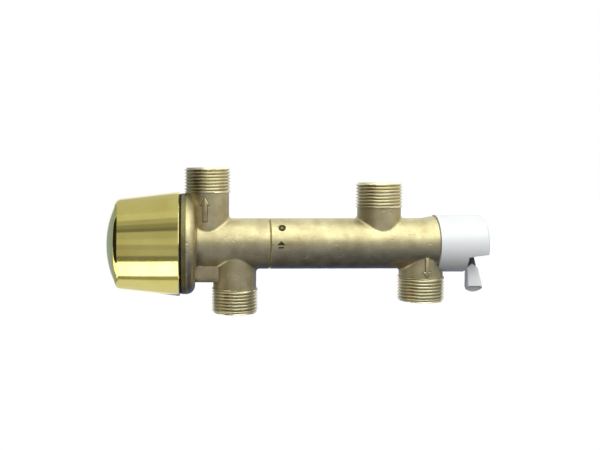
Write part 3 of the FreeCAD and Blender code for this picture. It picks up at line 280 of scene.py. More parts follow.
def shot_blasted_cast_brass(colours):
    """Sand-cast brass, blasted with fine shot: matt and grainy, with faint stains, speckles and sand pits."""
    # The shot marks are about 0.2 mm; drawn at 0.7 mm so that they show.
    material, part = surface(
        "shot_blasted_cast_brass", (colours.cast_brass, colours.cast_stain), sizes_mm=(8.0, 0.7),
        gloss=(0.38, 0.50), relief_mm=0.045, Metallic=0.85)
    sand_mm, pit_mm = 2.4, 0.10
    tree = material.node_tree
    speckle = add_node(tree, "ShaderNodeMapRange", {
        "Value": part["fine"].outputs["Fac"], "From Min": 0.50, "From Max": 0.72, "To Max": 0.5})
    speckled = add_node(tree, "ShaderNodeMix", {
        "Factor": speckle.outputs["Result"], 6: part["tone"].outputs[2], 7: colours.cast_stain},
        data_type="RGBA")
    sand = add_node(tree, "ShaderNodeTexNoise", {
        "Vector": part["place"], "Scale": 1 / (sand_mm * MM), "Detail": 1.0})
    pits = add_node(tree, "ShaderNodeMapRange", {
        "Value": sand.outputs["Fac"], "From Min": 0.68, "From Max": 0.76, "To Min": 1.0, "To Max": 0.0})
    pitted = add_node(tree, "ShaderNodeBump", {
        "Height": pits.outputs["Result"], "Distance": pit_mm * MM,
        "Normal": part["relief"].outputs["Normal"]})
    tree.links.new(speckled.outputs[2], part["shader"].inputs["Base Color"])
    tree.links.new(pitted.outputs["Normal"], part["shader"].inputs["Normal"])
    return material


def turned_brass(colours):
    """Brass off the lathe: bright crests, and a brown film with painted shade that darkens the roots of the
    threads, and painted shade on the plain ring.
    """
    material, part = surface(
        "turned_brass", (colours.turned_brass, colours.turned_shade), sizes_mm=(9.0, 0.8),
        gloss=(0.27, 0.33), relief_mm=0.001, stretch=(0.12, 0.12, 1.0), Metallic=1.0)
    tree = material.node_tree
    # The film colour darkens the roots as brown film with painted shade, and the plain ring as painted shade.
    film_and_shade_share = add_node(tree, "ShaderNodeAttribute", attribute_name="film_and_shade_share")
    film = add_node(tree, "ShaderNodeMapRange", {
        "Value": film_and_shade_share.outputs["Fac"], "From Min": 0.30, "From Max": 0.95, "To Max": 0.42})
    filmed = add_node(tree, "ShaderNodeMix", {
        "Factor": film.outputs["Result"], 6: part["tone"].outputs[2], 7: colours.thread_film},
        data_type="RGBA")
    tree.links.new(filmed.outputs[2], part["shader"].inputs["Base Color"])
    return material


def faced_brass(colours):
    """Brass faced on the lathe, on the flange's rim: hoops of fine tool lines, darkened to olive beside the
    cover as painted shade.
    """
    # Tool lines of 0.1 mm feed; drawn at 0.4 mm so that they show.
    return surface(
        "faced_brass", (colours.faced_brass, colours.faced_shade), sizes_mm=(7.0, 0.4),
        gloss=(0.52, 0.64), relief_mm=0.003, stretch=(1.0, 0.1, 0.1), Metallic=1.0)[0]


def polished_lacquered_brass(colours):
    """Brass polished on the lathe and lacquered: mirror bands, softened by the finest hoops and smears."""
    return surface(
        "polished_lacquered_brass", (colours.polished_brass, colours.polished_smear), sizes_mm=(14.0, 0.9),
        gloss=(0.09, 0.13), relief_mm=0.0006, stretch=(1.0, 0.04, 0.04), Metallic=1.0)[0]


def white_abs(colours):
    """White ABS, moulded in a spark-eroded tool: clean, satin, a trace of blue-grey in its shade."""
    return surface(
        "white_abs", (colours.white_plastic, colours.white_shade), sizes_mm=(12.0, 0.6),
        gloss=(0.30, 0.42), relief_mm=0.006, IOR=1.54)[0]


def fork_plastic_and_shade(colours):
    """Dark grey acetal of the fork: waxy and dull. Its darkness is painted shade in the slot under the
    handle.
    """
    return surface(
        "fork_plastic_and_shade", (colours.dark_plastic, colours.dark_shade), sizes_mm=(4.0, 0.5),
        gloss=(0.42, 0.56), relief_mm=0.01, IOR=1.48)[0]


def nitrile_rubber(colours):
    """Moulded nitrile rubber: black, matt, slightly dusty."""
    return surface(
        "nitrile_rubber", (colours.black_rubber, colours.rubber_dust), sizes_mm=(1.6, 0.5),
        gloss=(0.6, 0.8), relief_mm=0.02, IOR=1.52, **{"Specular IOR Level": 0.2})[0]


def turned_steel(colours):
    """Turned stainless steel: cool grey with tool lines round its axis."""
    return surface(
        "turned_stainless_steel", (colours.steel, colours.steel_shade), sizes_mm=(3.0, 0.4),
        gloss=(0.24, 0.36), relief_mm=0.006, stretch=(1.0, 0.1, 0.1), Metallic=1.0)[0]


def oxidised_brass(colours):
    """Brass browned by oxide, on the lock pin and the stamped signs: dull and uneven. Round the foot of the
    flow arrows it is painted shade.
    """
    return surface(
        "oxidised_brass", (colours.stamp, colours.stamp_crust), sizes_mm=(0.9, 0.5),
        gloss=(0.55, 0.8), relief_mm=0.03, Metallic=0.6)[0]


MAKERS = {
    "cast_brass": shot_blasted_cast_brass,
    "turned_brass": turned_brass,
    "faced_brass": faced_brass,
    "polished_brass": polished_lacquered_brass,
    "white_plastic": white_abs,
    "dark_plastic": fork_plastic_and_shade,
    "black_rubber": nitrile_rubber,
    "steel": turned_steel,
    "stamp": oxidised_brass,
}
made = {}


def finish(slot):
    """The material of a finish, made once."""
    if slot not in made:
        made[slot] = MAKERS[slot](bpy.context.scene.regulator_finishes)
    return made[slot]


# Meshes

def add_piece(name, bm, body, slots, sharp_deg=32.0):
    """Makes a piece of a mesh, smooth up to an angle. It rides on a CAD body, unless it blends two."""
    mesh = bpy.data.meshes.new(name)
    bm.to_mesh(mesh)
    bm.free()
    for stale in [a for a in mesh.attributes if a.name == "custom_normal"]:
        mesh.attributes.remove(stale)
    mesh.shade_smooth()
    mesh.set_sharp_from_angle(angle=math.radians(sharp_deg))
    for slot in slots:
        mesh.materials.append(finish(slot))
    piece = bpy.data.objects.new(name, mesh)
    bpy.context.scene.collection.objects.link(piece)
    if body:
        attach(piece, body)
    return piece


def merged_copy(node):
    """A CAD node's mesh with its loose triangles merged."""
    bm = bmesh.new()
    bm.from_mesh(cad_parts[node].data)
    bmesh.ops.remove_doubles(bm, verts=bm.verts, dist=0.002 * MM)
    return bm


def boundary(bm):
    """Edges with one face."""
    return [e for e in bm.edges if e.is_boundary]


def check_closed(bm, name):
    """Stops with an error if a mesh has open edges."""
    if boundary(bm):
        raise RuntimeError(f"{name} isn't closed: {len(boundary(bm))} open edges")


def everything(bm):
    """All corners, edges and faces of a mesh."""
    return [*bm.verts, *bm.edges, *bm.faces]


def with_rims(faces):
    """Faces with their edges and corners, each once."""
    return list(dict.fromkeys(part for face in faces for part in (face, *face.edges, *face.verts)))


def cut_closed(bm, planes):
    """Cuts a closed mesh at planes, each a place and the side that goes, and closes the cuts."""
    for place, away in planes:
        bmesh.ops.bisect_plane(
            bm, geom=everything(bm), plane_co=place, plane_no=away, dist=ON_PLANE, clear_outer=True)
        bmesh.ops.holes_fill(bm, edges=boundary(bm), sides=0)
    bmesh.ops.recalc_face_normals(bm, faces=bm.faces)


def cut_port(bm, port, reach):
    """Cuts a casting off where a port's thread starts, and closes the cut."""
    x, start, end = (v * MM for v in PORTS[port])
    outward = 1 if end > start else -1
    near = [f for f in bm.faces if all(
        math.hypot(v.co.x - x, v.co.y) < reach and (v.co.z - AXIS_Z) * outward > 0 for v in f.verts)]
    overlap = 0.02 * MM
    plane = Vector((x, 0, start - outward * overlap))
    bmesh.ops.bisect_plane(
        bm, geom=with_rims(near), plane_co=plane, plane_no=(0, 0, outward), dist=ON_FINE_PLANE,
        clear_outer=True)
    bmesh.ops.triangle_fill(bm, edges=boundary(bm), normal=(0, 0, outward), use_beauty=True)


def eased(value, low, high):
    """Zero up to low, one from high, and a soft rise between them."""
    share = min(max((value - low) / (high - low), 0.0), 1.0)
    return share * share * (3 - 2 * share)


def lip_flare(place, crest_x, sizes):
    """The end lip's flare at a place: its radius, its slope, and its share beside the CAD frame's lip."""
    # The return neck runs into the lip from below, so the flare dies out above it, and the CAD lip stays.
    angle = math.degrees(math.atan2(place.z - AXIS_Z, abs(place.y)))
    rise = sizes.lip_rise * eased(angle, *FLARE_ANGLES)
    along = min(max((place.x - crest_x) / sizes.flare_run + 1, 0.0), 1.0)
    # The slope of eased() is 6 t (1 - t).
    slope = rise * 6 * along * (1 - along) / sizes.flare_run
    return sizes.tube_radius + rise * eased(along, 0, 1), slope, eased(angle, *LOWERED_ANGLES)


def flare_lip(bm, sizes):
    """Lowers the right casting's end lip, and lets the tube flare to it, all round but at the return neck."""
    crest_x = sizes.lip_end - sizes.lip_width
    tube, steps, slack = sizes.tube_radius, 8, 0.06 * MM
    # The CAD lip: how far before the crest it starts, how high it stands at most, and just past its end.
    lip_foot, lip_height, past_end = 1.4 * MM, 1.35 * MM, 0.01 * MM
    for step in range(steps):
        x = crest_x - sizes.flare_run * step / steps
        round_faces = [f for f in bm.faces if all(
            abs(math.hypot(v.co.y, v.co.z - AXIS_Z) - tube) < slack for v in f.verts)]
        bmesh.ops.bisect_plane(
            bm, geom=with_rims(round_faces), plane_co=(x, 0, 0), plane_no=(1, 0, 0), dist=ON_PLANE)
    for vert in bm.verts:
        out = math.hypot(vert.co.y, vert.co.z - AXIS_Z)
        radius, _, share = lip_flare(vert.co, crest_x, sizes)
        on_tube = vert.co.x > crest_x - sizes.flare_run and abs(out - tube) < slack
        by_lip = crest_x - lip_foot < vert.co.x < sizes.lip_end + past_end
        on_lip = by_lip and tube < out < tube + lip_height
        if on_tube or on_lip:
            grow = 1 + (radius / out - 1) * share
            vert.co.y *= grow
            vert.co.z = AXIS_Z + (vert.co.z - AXIS_Z) * grow


def smooth_rounds(piece, ports, sizes):
    """Gives the tube and the necks the normals of true cylinders, and the end lip those of its flare."""
    mesh = piece.data
    crest_x = sizes.lip_end - sizes.lip_width
    slack = 0.02 * MM
    # Least cosines between a corner's own normal and the true one.
    on_round, on_flare = 0.94, 0.5
    axes = [(Vector((0, 0, AXIS_Z)), Vector((1, 0, 0)), sizes.tube_radius)]
    axes += [(Vector((PORTS[port][0] * MM, 0, 0)), Vector((0, 0, 1)), sizes.neck_radius) for port in ports]
    normals = []
    for loop, corner in zip(mesh.loops, mesh.corner_normals):
        normal = corner.vector.copy()
        place = mesh.vertices[loop.vertex_index].co
        for start, along, radius in axes:
            out = place - start
            out -= along * out.dot(along)
            if abs(out.length - radius) < slack and normal.dot(out) > on_round * out.length:
                normal = out.normalized()
        out = Vector((0, place.y, place.z - AXIS_Z))
        radius, slope, _ = lip_flare(place, crest_x, sizes)
        flared = place.x > crest_x - sizes.flare_run and abs(out.length - radius) < slack
        if flared and normal.dot(out) > on_flare * out.length:
            normal = (out.normalized() - Vector((slope, 0, 0))).normalized()
        normals.append(normal)
    mesh.normals_split_custom_set(normals)


class RegulatorCastings(bpy.types.Operator):
    """Dresses the two brass castings"""

    bl_idname = "regulator.castings"
    bl_label = "Castings"

    def execute(self, context):
        sizes = context.scene.regulator_sizes
        port_reach = sizes.thread_radius + 0.2 * MM
        # The diaphragm flange's faced rim, along the main axis and out from it; its darkened finish is
        # painted shade beside the cover.
        rim_left, rim_right, rim_inside = -30.25 * MM, -27.65 * MM, 24 * MM
        for name, (node, ports) in CASTINGS.items():
            bm = merged_copy(node)
            for port in ports:
                cut_port(bm, port, port_reach)
            if node == "primary_body":
                flare_lip(bm, sizes)
            bmesh.ops.recalc_face_normals(bm, faces=bm.faces)
            for face in bm.faces:
                middle = face.calc_center_median()
                out = math.hypot(middle.y, middle.z - AXIS_Z)
                on_rim = rim_left < middle.x < rim_right and out > rim_inside
                face.material_index = 1 if on_rim else 0
            check_closed(bm, name)
            piece = add_piece(name, bm, "housing", ("cast_brass", "faced_brass"))
            smooth_rounds(piece, ports, sizes)
            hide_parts(node)
        return {"FINISHED"}


def thread_profile(bm, sizes):
    """One pitch of a rounded pipe thread, as a line of edges beside the port's axis."""
    pitch, crest, depth = sizes.thread_pitch, sizes.thread_radius, sizes.thread_depth
    root = crest - depth
    # Places along the pitch, each with its height over the root as a share of the depth.
    steps = (
        (0.0, 0.0), (0.06, 0.03), (0.12, 0.14), (0.38, 0.86), (0.44, 0.97), (0.5, 1.0), (0.56, 0.97),
        (0.62, 0.86), (0.88, 0.14), (0.94, 0.03), (1.0, 0.0))
    line = [bm.verts.new((root + depth * up, 0, pitch * along)) for along, up in steps]
    edges = [bm.edges.new(pair) for pair in zip(line, line[1:])]
    return line + edges


def threaded_end(sizes, run):
    """A port's threaded end, standing on z = 0: helix, ring, lead-in and bore, closed."""
    bm = bmesh.new()
    pitch, crest = sizes.thread_pitch, sizes.thread_radius
    steps = sizes.turn_steps
    spare_turns = 2
    turns = math.ceil(run / pitch) + spare_turns
    profile = thread_profile(bm, sizes)
    bmesh.ops.spin(
        bm, geom=profile, cent=(0, 0, 0), axis=(0, 0, 1), dvec=(0, 0, pitch / steps),
        angle=math.tau * turns, steps=steps * turns, use_merge=False)
    bmesh.ops.translate(bm, verts=bm.verts, vec=(0, 0, -spare_turns * pitch))
    bmesh.ops.remove_doubles(bm, verts=bm.verts, dist=0.004 * MM)
    sink, run_in_slope = 0.05 * MM, 1.6
    ring, lead = sizes.thread_ring, sizes.thread_lead_in
    for vert in bm.verts:
        z, radius = vert.co.z, math.hypot(vert.co.x, vert.co.y)
        least = crest - max(0.0, z - ring) * run_in_slope
        most = crest - max(0.0, z - (run - lead))
        wanted = min(max(radius, least), most)
        vert.co.x *= wanted / radius
        vert.co.y *= wanted / radius
    for height, up in ((-sink, -1), (run, 1)):
        bmesh.ops.bisect_plane(
            bm, geom=everything(bm), plane_co=(0, 0, height), plane_no=(0, 0, up), dist=ON_FINE_PLANE,
            clear_outer=True)
    bore, edge = sizes.port_bore, sizes.bore_edge
    loops = []
    for height, radius in ((-sink, bore), (run - edge, bore), (run, bore + edge)):
        made_ring = bmesh.ops.create_circle(
            bm, segments=steps, radius=radius, matrix=Matrix.Translation((0, 0, height)))
        loops.append(list(dict.fromkeys(e for v in made_ring["verts"] for e in v.link_edges)))
    for low, high in zip(loops, loops[1:]):
        bmesh.ops.bridge_loops(bm, edges=low + high)
    for height, up in ((-sink, -1), (run, 1)):
        rim = [e for e in boundary(bm) if all(abs(v.co.z - height) < ON_PLANE for v in e.verts)]
        bmesh.ops.triangle_fill(bm, edges=rim, normal=(0, 0, up), use_beauty=True)
    bmesh.ops.recalc_face_normals(bm, faces=bm.faces)
    # How much of the film colour a corner gets: brown film with painted shade, more the deeper it lies in a
    # root.
    film_and_shade_share = bm.verts.layers.float.new("film_and_shade_share")
    # Shares of the depth: deeper than past_root is the bore, up to by_crest is the ring, which has the film
    # colour as painted shade.
    past_root, by_crest, ring_painted_shade = 1.1, 0.1, 0.9
    for vert in bm.verts:
        below = (crest - math.hypot(vert.co.x, vert.co.y)) / sizes.thread_depth
        on_thread = ring < vert.co.z < run - lead and below < past_root
        on_ring = vert.co.z <= ring and below < by_crest
        vert[film_and_shade_share] = below if on_thread else ring_painted_shade if on_ring else 0.0
    return bm


class RegulatorThreads(bpy.types.Operator):
    """Cuts the pipe threads of the four ports"""

    bl_idname = "regulator.threads"
    bl_label = "Port threads"

    def execute(self, context):
        sizes = context.scene.regulator_sizes
        _, start, end = PORTS["inlet"]
        pattern = threaded_end(sizes, abs(end - start) * MM)
        check_closed(pattern, "the thread")
        for name, (x, start, end) in PORTS.items():
            bm = pattern.copy()
            place = Matrix.Translation((x * MM, 0, start * MM))
            if end < start:
                place = place @ Matrix.Rotation(math.pi, 4, "X")
            bmesh.ops.transform(bm, matrix=place, verts=bm.verts)
            add_piece(f"{name}_thread", bm, "housing", ("turned_brass",), sharp_deg=46.0)
        pattern.free()
        return {"FINISHED"}


class RegulatorCover(bpy.types.Operator):
    """Spins the polished diaphragm cover"""

    bl_idname = "regulator.cover"
    bl_label = "Polished cover"

    def execute(self, context):
        sizes = context.scene.regulator_sizes
        low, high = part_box("diaphragm_cover")
        rim_x, tip_x = high.x, low.x
        nose_x = rim_x - sizes.cover_run
        rise = nose_x - tip_x
        ball = (sizes.cover_nose ** 2 + rise ** 2) / (2 * rise)
        clamp_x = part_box("clamp_ring")[0].x
        bm = bmesh.new()
        # Outside from the rim to the nose, then inside from the pole back to the rim.
        chamfer, bore = sizes.cover_chamfer, sizes.cover_bore
        outside = [
            (rim_x, sizes.cover_rim - chamfer), (rim_x - chamfer, sizes.cover_rim),
            (nose_x, sizes.cover_nose)]
        inside = [(clamp_x, sizes.cover_step), (clamp_x, bore), (rim_x, bore)]
        dome_steps, hollow_steps = 24, 16
        sweep = math.asin(sizes.cover_nose / ball)
        dome = [(tip_x + ball * (1 - math.cos(a)), ball * math.sin(a)) for a in
                (sweep * (1 - i / dome_steps) for i in range(1, dome_steps + 1))]
        hollow = sizes.hollow_ball
        hollow_sweep = math.asin(sizes.hollow_rim / hollow)
        hollow_tip = tip_x + sizes.dome_wall
        dish = [(hollow_tip + hollow * (1 - math.cos(a)), hollow * math.sin(a)) for a in
                (hollow_sweep * i / hollow_steps for i in range(hollow_steps + 1))]
        line = [bm.verts.new((x, 0, r)) for x, r in outside + dome + dish + inside]
        edges = [bm.edges.new(pair) for pair in zip(line, line[1:] + line[:1])]
        pole = len(outside) + len(dome)
        pole_edge = bm.edges.get((line[pole - 1], line[pole]))
        edges.remove(pole_edge)
        bm.edges.remove(pole_edge)
        corner = line[len(outside) - 1]
        bmesh.ops.bevel(
            bm, geom=[corner], offset=sizes.cover_round, offset_type="OFFSET", affect="VERTICES", segments=8,
            profile=0.5, material=-1)
        bmesh.ops.spin(
            bm, geom=[*bm.verts, *bm.edges], cent=(0, 0, 0), axis=(1, 0, 0), angle=math.tau,
            steps=2 * sizes.turn_steps, use_merge=True)
        bmesh.ops.translate(bm, verts=bm.verts, vec=(0, 0, AXIS_Z))
        bmesh.ops.remove_doubles(bm, verts=bm.verts, dist=0.001 * MM)
        bmesh.ops.recalc_face_normals(bm, faces=bm.faces)
        check_closed(bm, "the cover")
        piece = add_piece(
            "polished_cover", bm, "housing", ("polished_brass",), sharp_deg=40.0)
        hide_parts("diaphragm_cover")
        return {"FINISHED"}


def raise_outline(bm, outline, low, high, soft):
    """A flat outline raised to a solid with softened upper edges."""
    base = bm.faces.new([bm.verts.new((u, v, low)) for u, v in outline])
    top = bmesh.ops.extrude_face_region(bm, geom=[base])["geom"]
    raised = [g for g in top if isinstance(g, bmesh.types.BMVert)]
    bmesh.ops.translate(bm, verts=raised, vec=(0, 0, high - low))
    upper = [g for g in top if isinstance(g, bmesh.types.BMEdge)]
    if soft:
        bmesh.ops.bevel(
            bm, geom=upper, offset=soft, offset_type="OFFSET", affect="EDGES", segments=2, profile=0.5,
            material=-1)


def slice_up(bm, axis, low, high, step):
    """Cuts a flat solid into narrow strips, so that it can be bent."""
    for i in range(1, math.ceil((high - low) / step)):
        plane = Vector((0, 0, 0))
        plane[axis] = low + i * step
        normal = Vector((0, 0, 0))
        normal[axis] = 1
        bmesh.ops.bisect_plane(bm, geom=everything(bm), plane_co=plane, plane_no=normal, dist=ON_PLANE)


def bend_on_neck(bm, x, radius, turn):
    """Bends a flat solid round an upright neck: u runs round it, v up it."""
    for vert in bm.verts:
        u, v, out = vert.co
        angle, reach = turn + u / radius, radius + out
        vert.co = (x + reach * math.sin(angle), -reach * math.cos(angle), v)


def bend_on_tube(bm, radius):
    """Bends a flat solid round the main tube: u runs along it, v up round its front."""
    for vert in bm.verts:
        u, v, out = vert.co
        angle, reach = v / radius, radius + out
        vert.co = (u, -reach * math.cos(angle), AXIS_Z + reach * math.sin(angle))


class RegulatorMarks(bpy.types.Operator):
    """Raises the cast flow arrows and stamps the signs beside the joint"""

    bl_idname = "regulator.marks"
    bl_label = "Arrows and signs"

    def execute(self, context):
        sizes = context.scene.regulator_sizes
        for port, arrow in ARROWS.items():
            self.raise_arrow(port, arrow, sizes)
        root, strip, lowest, highest = 0.4 * MM, 0.5 * MM, -3 * MM, 2 * MM
        for name, outline in SIGNS.items():
            bm = bmesh.new()
            raise_outline(bm, [(u * MM, v * MM) for u, v in outline], -root, sizes.sign_height, 0)
            slice_up(bm, 1, lowest, highest, strip)
            bend_on_tube(bm, sizes.tube_radius)
            bmesh.ops.recalc_face_normals(bm, faces=bm.faces)
            add_piece(name, bm, "housing", ("stamp",))
        self.pale_pin_end(sizes)
        return {"FINISHED"}

    def raise_arrow(self, port, arrow, sizes):
        """A flow arrow cast on a port's neck, and a thin line of painted shade round its foot."""
        tail, shoulder, tip, shaft, head, turn = arrow
        root, strip = 0.5 * MM, 0.45 * MM
        for name, grow, height, slope, slot in (
            ("arrow", 0.0, sizes.arrow_height, 0.45, "cast_brass"),
            # A thin rim, a little wider than the arrow, in the oxidised finish: painted shade at the arrow's
            # foot.
            ("arrow_painted_shade", 0.2, sizes.sign_height, 0.0, "stamp"),
        ):
            bm = bmesh.new()
            back = math.copysign(grow, shoulder - tip)
            point_back = 1.5 * back
            wide, broad = shaft + grow, head + 2 * grow
            outline = [
                (-wide, tail + back), (wide, tail + back), (wide, shoulder + back), (broad, shoulder + back),
                (0, tip - point_back), (-broad, shoulder + back), (-wide, shoulder + back)]
            raise_outline(bm, [(u * MM, v * MM) for u, v in outline], -root, height, slope * MM)
            slice_up(bm, 0, -broad * MM, broad * MM, strip)
            bend_on_neck(bm, PORTS[port][0] * MM, sizes.neck_radius, math.radians(turn))
            bmesh.ops.recalc_face_normals(bm, faces=bm.faces)
            add_piece(f"{port}_{name}", bm, "housing", (slot,))

    def pale_pin_end(self, sizes):
        """The lock pin's end, paler in its middle: a thin disc of faced brass."""
        low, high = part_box("lock_pin")
        axis = Vector(((low.x + high.x) / 2, 0, AXIS_Z))
        out = (Vector(low) + Vector(high)) / 2 - axis
        out.normalize()
        end = max((v.co - axis).dot(out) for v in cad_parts["lock_pin"].data.vertices)
        thick, taper = 0.3 * MM, 0.8
        bm = bmesh.new()
        bmesh.ops.create_cone(
            bm, cap_ends=True, segments=24, radius1=sizes.pin_wear, radius2=taper * sizes.pin_wear,
            depth=thick)
        place = Matrix.Translation(axis + out * (end + sizes.sign_height - thick / 2))
        turned = out.to_track_quat("Z", "Y").to_matrix().to_4x4()
        bmesh.ops.transform(bm, matrix=place @ turned, verts=bm.verts)
        add_piece("lock_pin_pale_disc", bm, "housing", ("faced_brass",))


class RegulatorHandle(bpy.types.Operator):
    """Dresses the white handle and its finger grip"""

    bl_idname = "regulator.handle"
    bl_label = "Handle and grip"

    def execute(self, context):
        sizes = context.scene.regulator_sizes
        self.dress_cap(sizes)
        self.dress_grip(sizes)
        return {"FINISHED"}

    def dress_cap(self, sizes):
        """The cap: its skirt comes nearer to the fork, and the underside of its end rises to the right."""
        bm = merged_copy("setting_handle")
        step_x, step_z = sizes.skirt_end, AXIS_Z - sizes.step_drop
        slack, underside_slope = 0.02 * MM, 0.12
        upper = [f for f in bm.faces if all(v.co.z > step_z - slack for v in f.verts)]
        bmesh.ops.bisect_plane(
            bm, geom=with_rims(upper), plane_co=(step_x, 0, step_z), plane_no=(underside_slope, 0, -1),
            dist=slack, clear_outer=True)
        bmesh.ops.triangle_fill(bm, edges=boundary(bm), normal=(0, 0, -1), use_beauty=True)
        for vert in bm.verts:
            if abs(vert.co.x - step_x) < slack and vert.co.z < step_z + slack:
                vert.co.x += sizes.skirt_gain
        bmesh.ops.recalc_face_normals(bm, faces=bm.faces)
        check_closed(bm, "the cap")
        piece = add_piece("white_cap", bm, "handle_group", ("white_plastic",))
        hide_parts("setting_handle")

    def dress_grip(self, sizes):
        """The grip: slimmer on its left, and cut at a slant at its end, with a shallow dish in the cut."""
        bm = merged_copy("handle_grip")
        low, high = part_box("handle_grip")
        left, waist = low.x, low.x + sizes.grip_waist
        thinning, dish_edge, dish_depth = 0.45, 0.7 * MM, 0.35 * MM
        for vert in bm.verts:
            if vert.co.x < waist:
                vert.co.x += (waist - vert.co.x) / (waist - left) * sizes.grip_gain
            vert.co.y *= 1 - thinning * (vert.co.z - low.z) / (high.z - low.z)
        slant = Vector((0, -0.7, -0.72)).normalized()
        cut_closed(bm, [((0, low.y, low.z + sizes.grip_end), slant)])
        cut = max(bm.faces, key=lambda face: len(face.verts))
        bmesh.ops.inset_region(
            bm, faces=[cut], thickness=dish_edge, depth=-dish_depth, use_even_offset=True)
        check_closed(bm, "the grip")
        piece = add_piece("finger_grip", bm, "handle_group", ("white_plastic",))
        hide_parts("handle_grip")


class RegulatorSoftParts(bpy.types.Operator):
    """Lets the closing spring and the diaphragm give way when the spindle slides"""

    bl_idname = "regulator.soft_parts"
    bl_label = "Spring and diaphragm"

    def execute(self, context):
        sizes = context.scene.regulator_sizes
        self.dress_spring()
        self.dress_diaphragm(sizes)
        return {"FINISHED"}

    def dress_spring(self):
        """The spring's left end goes with the valve, its last coil with the cup."""
        low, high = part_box("return_spring")
        left, right = Vector((low.x, 0, AXIS_Z)), Vector((high.x, 0, AXIS_Z))
        last_coil = 2.6 * MM
        rest = Vector((high.x - last_coil, 0, AXIS_Z))
        for name, bodies, ends, away in (
            ("spring_coils", ("spindle_group", "housing"), (left, rest), 1),
            ("spring_last_coil", ("housing", "cup_group"), (rest, right), -1),
        ):
            bm = merged_copy("return_spring")
            cut_closed(bm, [(rest, (away, 0, 0))])
            piece = add_piece(name, bm, None, ("steel",), sharp_deg=50.0)
            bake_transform(piece, *bodies, *ends)
            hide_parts("return_spring")

    def dress_diaphragm(self, sizes):
        """The diaphragm in sectors: its middle goes with the spindle's plates, its rim stays in the clamp."""
        low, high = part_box("diaphragm")
        middle = Vector(((low.x + high.x) / 2, 0, AXIS_Z))
        inner, outer = sizes.plate_rim, sizes.clamp_rim
        half, bends = math.pi / sizes.diaphragm_sectors, 8
        for number in range(sizes.diaphragm_sectors):
            bm = merged_copy("diaphragm")
            turn = Matrix.Rotation(2 * half * number, 3, "X")
            cut_closed(bm, [
                (middle, turn @ Vector((0, math.cos(half) * side, -math.sin(half)))) for side in (-1, 1)])
            check_closed(bm, "a diaphragm sector")
            along = turn @ Vector((0, 0, 1))
            for step in range(bends + 1):
                bmesh.ops.bisect_plane(
                    bm, geom=everything(bm), plane_no=along, dist=ON_PLANE,
                    plane_co=middle + along * (inner + (outer - inner) * step / bends))
            piece = add_piece(
                f"diaphragm_{number:02d}", bm, None, ("black_rubber",), sharp_deg=50.0)
            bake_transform(piece, "spindle_group", "housing", middle + along * inner, middle + along * outer)
            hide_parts("diaphragm")


class RegulatorInnerParts(bpy.types.Operator):
    """Gives the carried-over CAD nodes their finishes"""

    bl_idname = "regulator.inner_parts"
    bl_label = "Finishes of the CAD nodes"

    def execute(self, context):
        for name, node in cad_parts.items():
            if node.hide_render:
                continue
            slot = "stamp" if name == "lock_pin" else node.data.materials[0].name.split(".")[0]
            if slot not in MAKERS:
                raise RuntimeError(f"{name} has a finish that isn't known: {slot}")
            node.data.materials.clear()
            node.data.materials.append(finish(slot))
        return {"FINISHED"}


# Stage

CARD_STEPS = 24


def stage_piece(name, bm, material):
    """A floor or card that isn't part of the regulator."""
    mesh = bpy.data.meshes.new(name)
    bm.to_mesh(mesh)
    bm.free()
    mesh.materials.append(material)
    piece = bpy.data.objects.new(name, mesh)
    bpy.context.scene.collection.objects.link(piece)
    return piece


def add_card(name, bm, level, tint):
    """A plain card that only gloss shows, as studio reflectors and flags do for metal."""
    material = bpy.data.materials.new(name)
    tree = new_tree(material)
    glow = add_node(tree, "ShaderNodeEmission", {"Color": tint, "Strength": level})
    add_node(tree, "ShaderNodeOutputMaterial", {"Surface": glow.outputs["Emission"]})
    card = stage_piece(name, bm, material)
    card.visible_camera = card.visible_diffuse = card.visible_shadow = False
    card.visible_transmission = card.visible_volume_scatter = False


def round_point(reach, x, degrees):
    """A point round the main axis. Degrees go up from the viewer's side."""
    angle = math.radians(degrees)
    return x, -reach * math.cos(angle), AXIS_Z + reach * math.sin(angle)


def bent_card(name, reach, angles, ends, level, tint=WHITE, fan=0.0):
    """A card bent round the main axis. With a fan, its angles below the viewer are wider at the left."""
    bm = bmesh.new()
    for x, grow in ((ends[0], 1 + fan), (ends[1], 1 - fan)):
        first, last = (max(a * grow, -180) if a < 0 else a for a in angles)
        bmesh.ops.spin(
            bm, geom=[bm.verts.new(round_point(reach, x, first))], cent=(0, 0, AXIS_Z), axis=(-1, 0, 0),
            angle=math.radians(last - first), steps=CARD_STEPS, use_merge=False)
    bmesh.ops.bridge_loops(bm, edges=bm.edges)
    add_card(name, bm, level, tint)


def end_card(name, reach, angles, x, level, tint=WHITE):
    """A sector of the disc that closes the cards at one end."""
    bm = bmesh.new()
    middle = (x, 0, AXIS_Z)
    ends = [bm.verts.new(middle), bm.verts.new(round_point(reach, x, angles[0]))]
    bar = bm.edges.new(ends)
    bmesh.ops.spin(
        bm, geom=[*ends, bar], cent=middle, axis=(-1, 0, 0), angle=math.radians(angles[1] - angles[0]),
        steps=CARD_STEPS, use_merge=False)
    bmesh.ops.remove_doubles(bm, verts=bm.verts, dist=0.01 * MM)
    add_card(name, bm, level, tint)


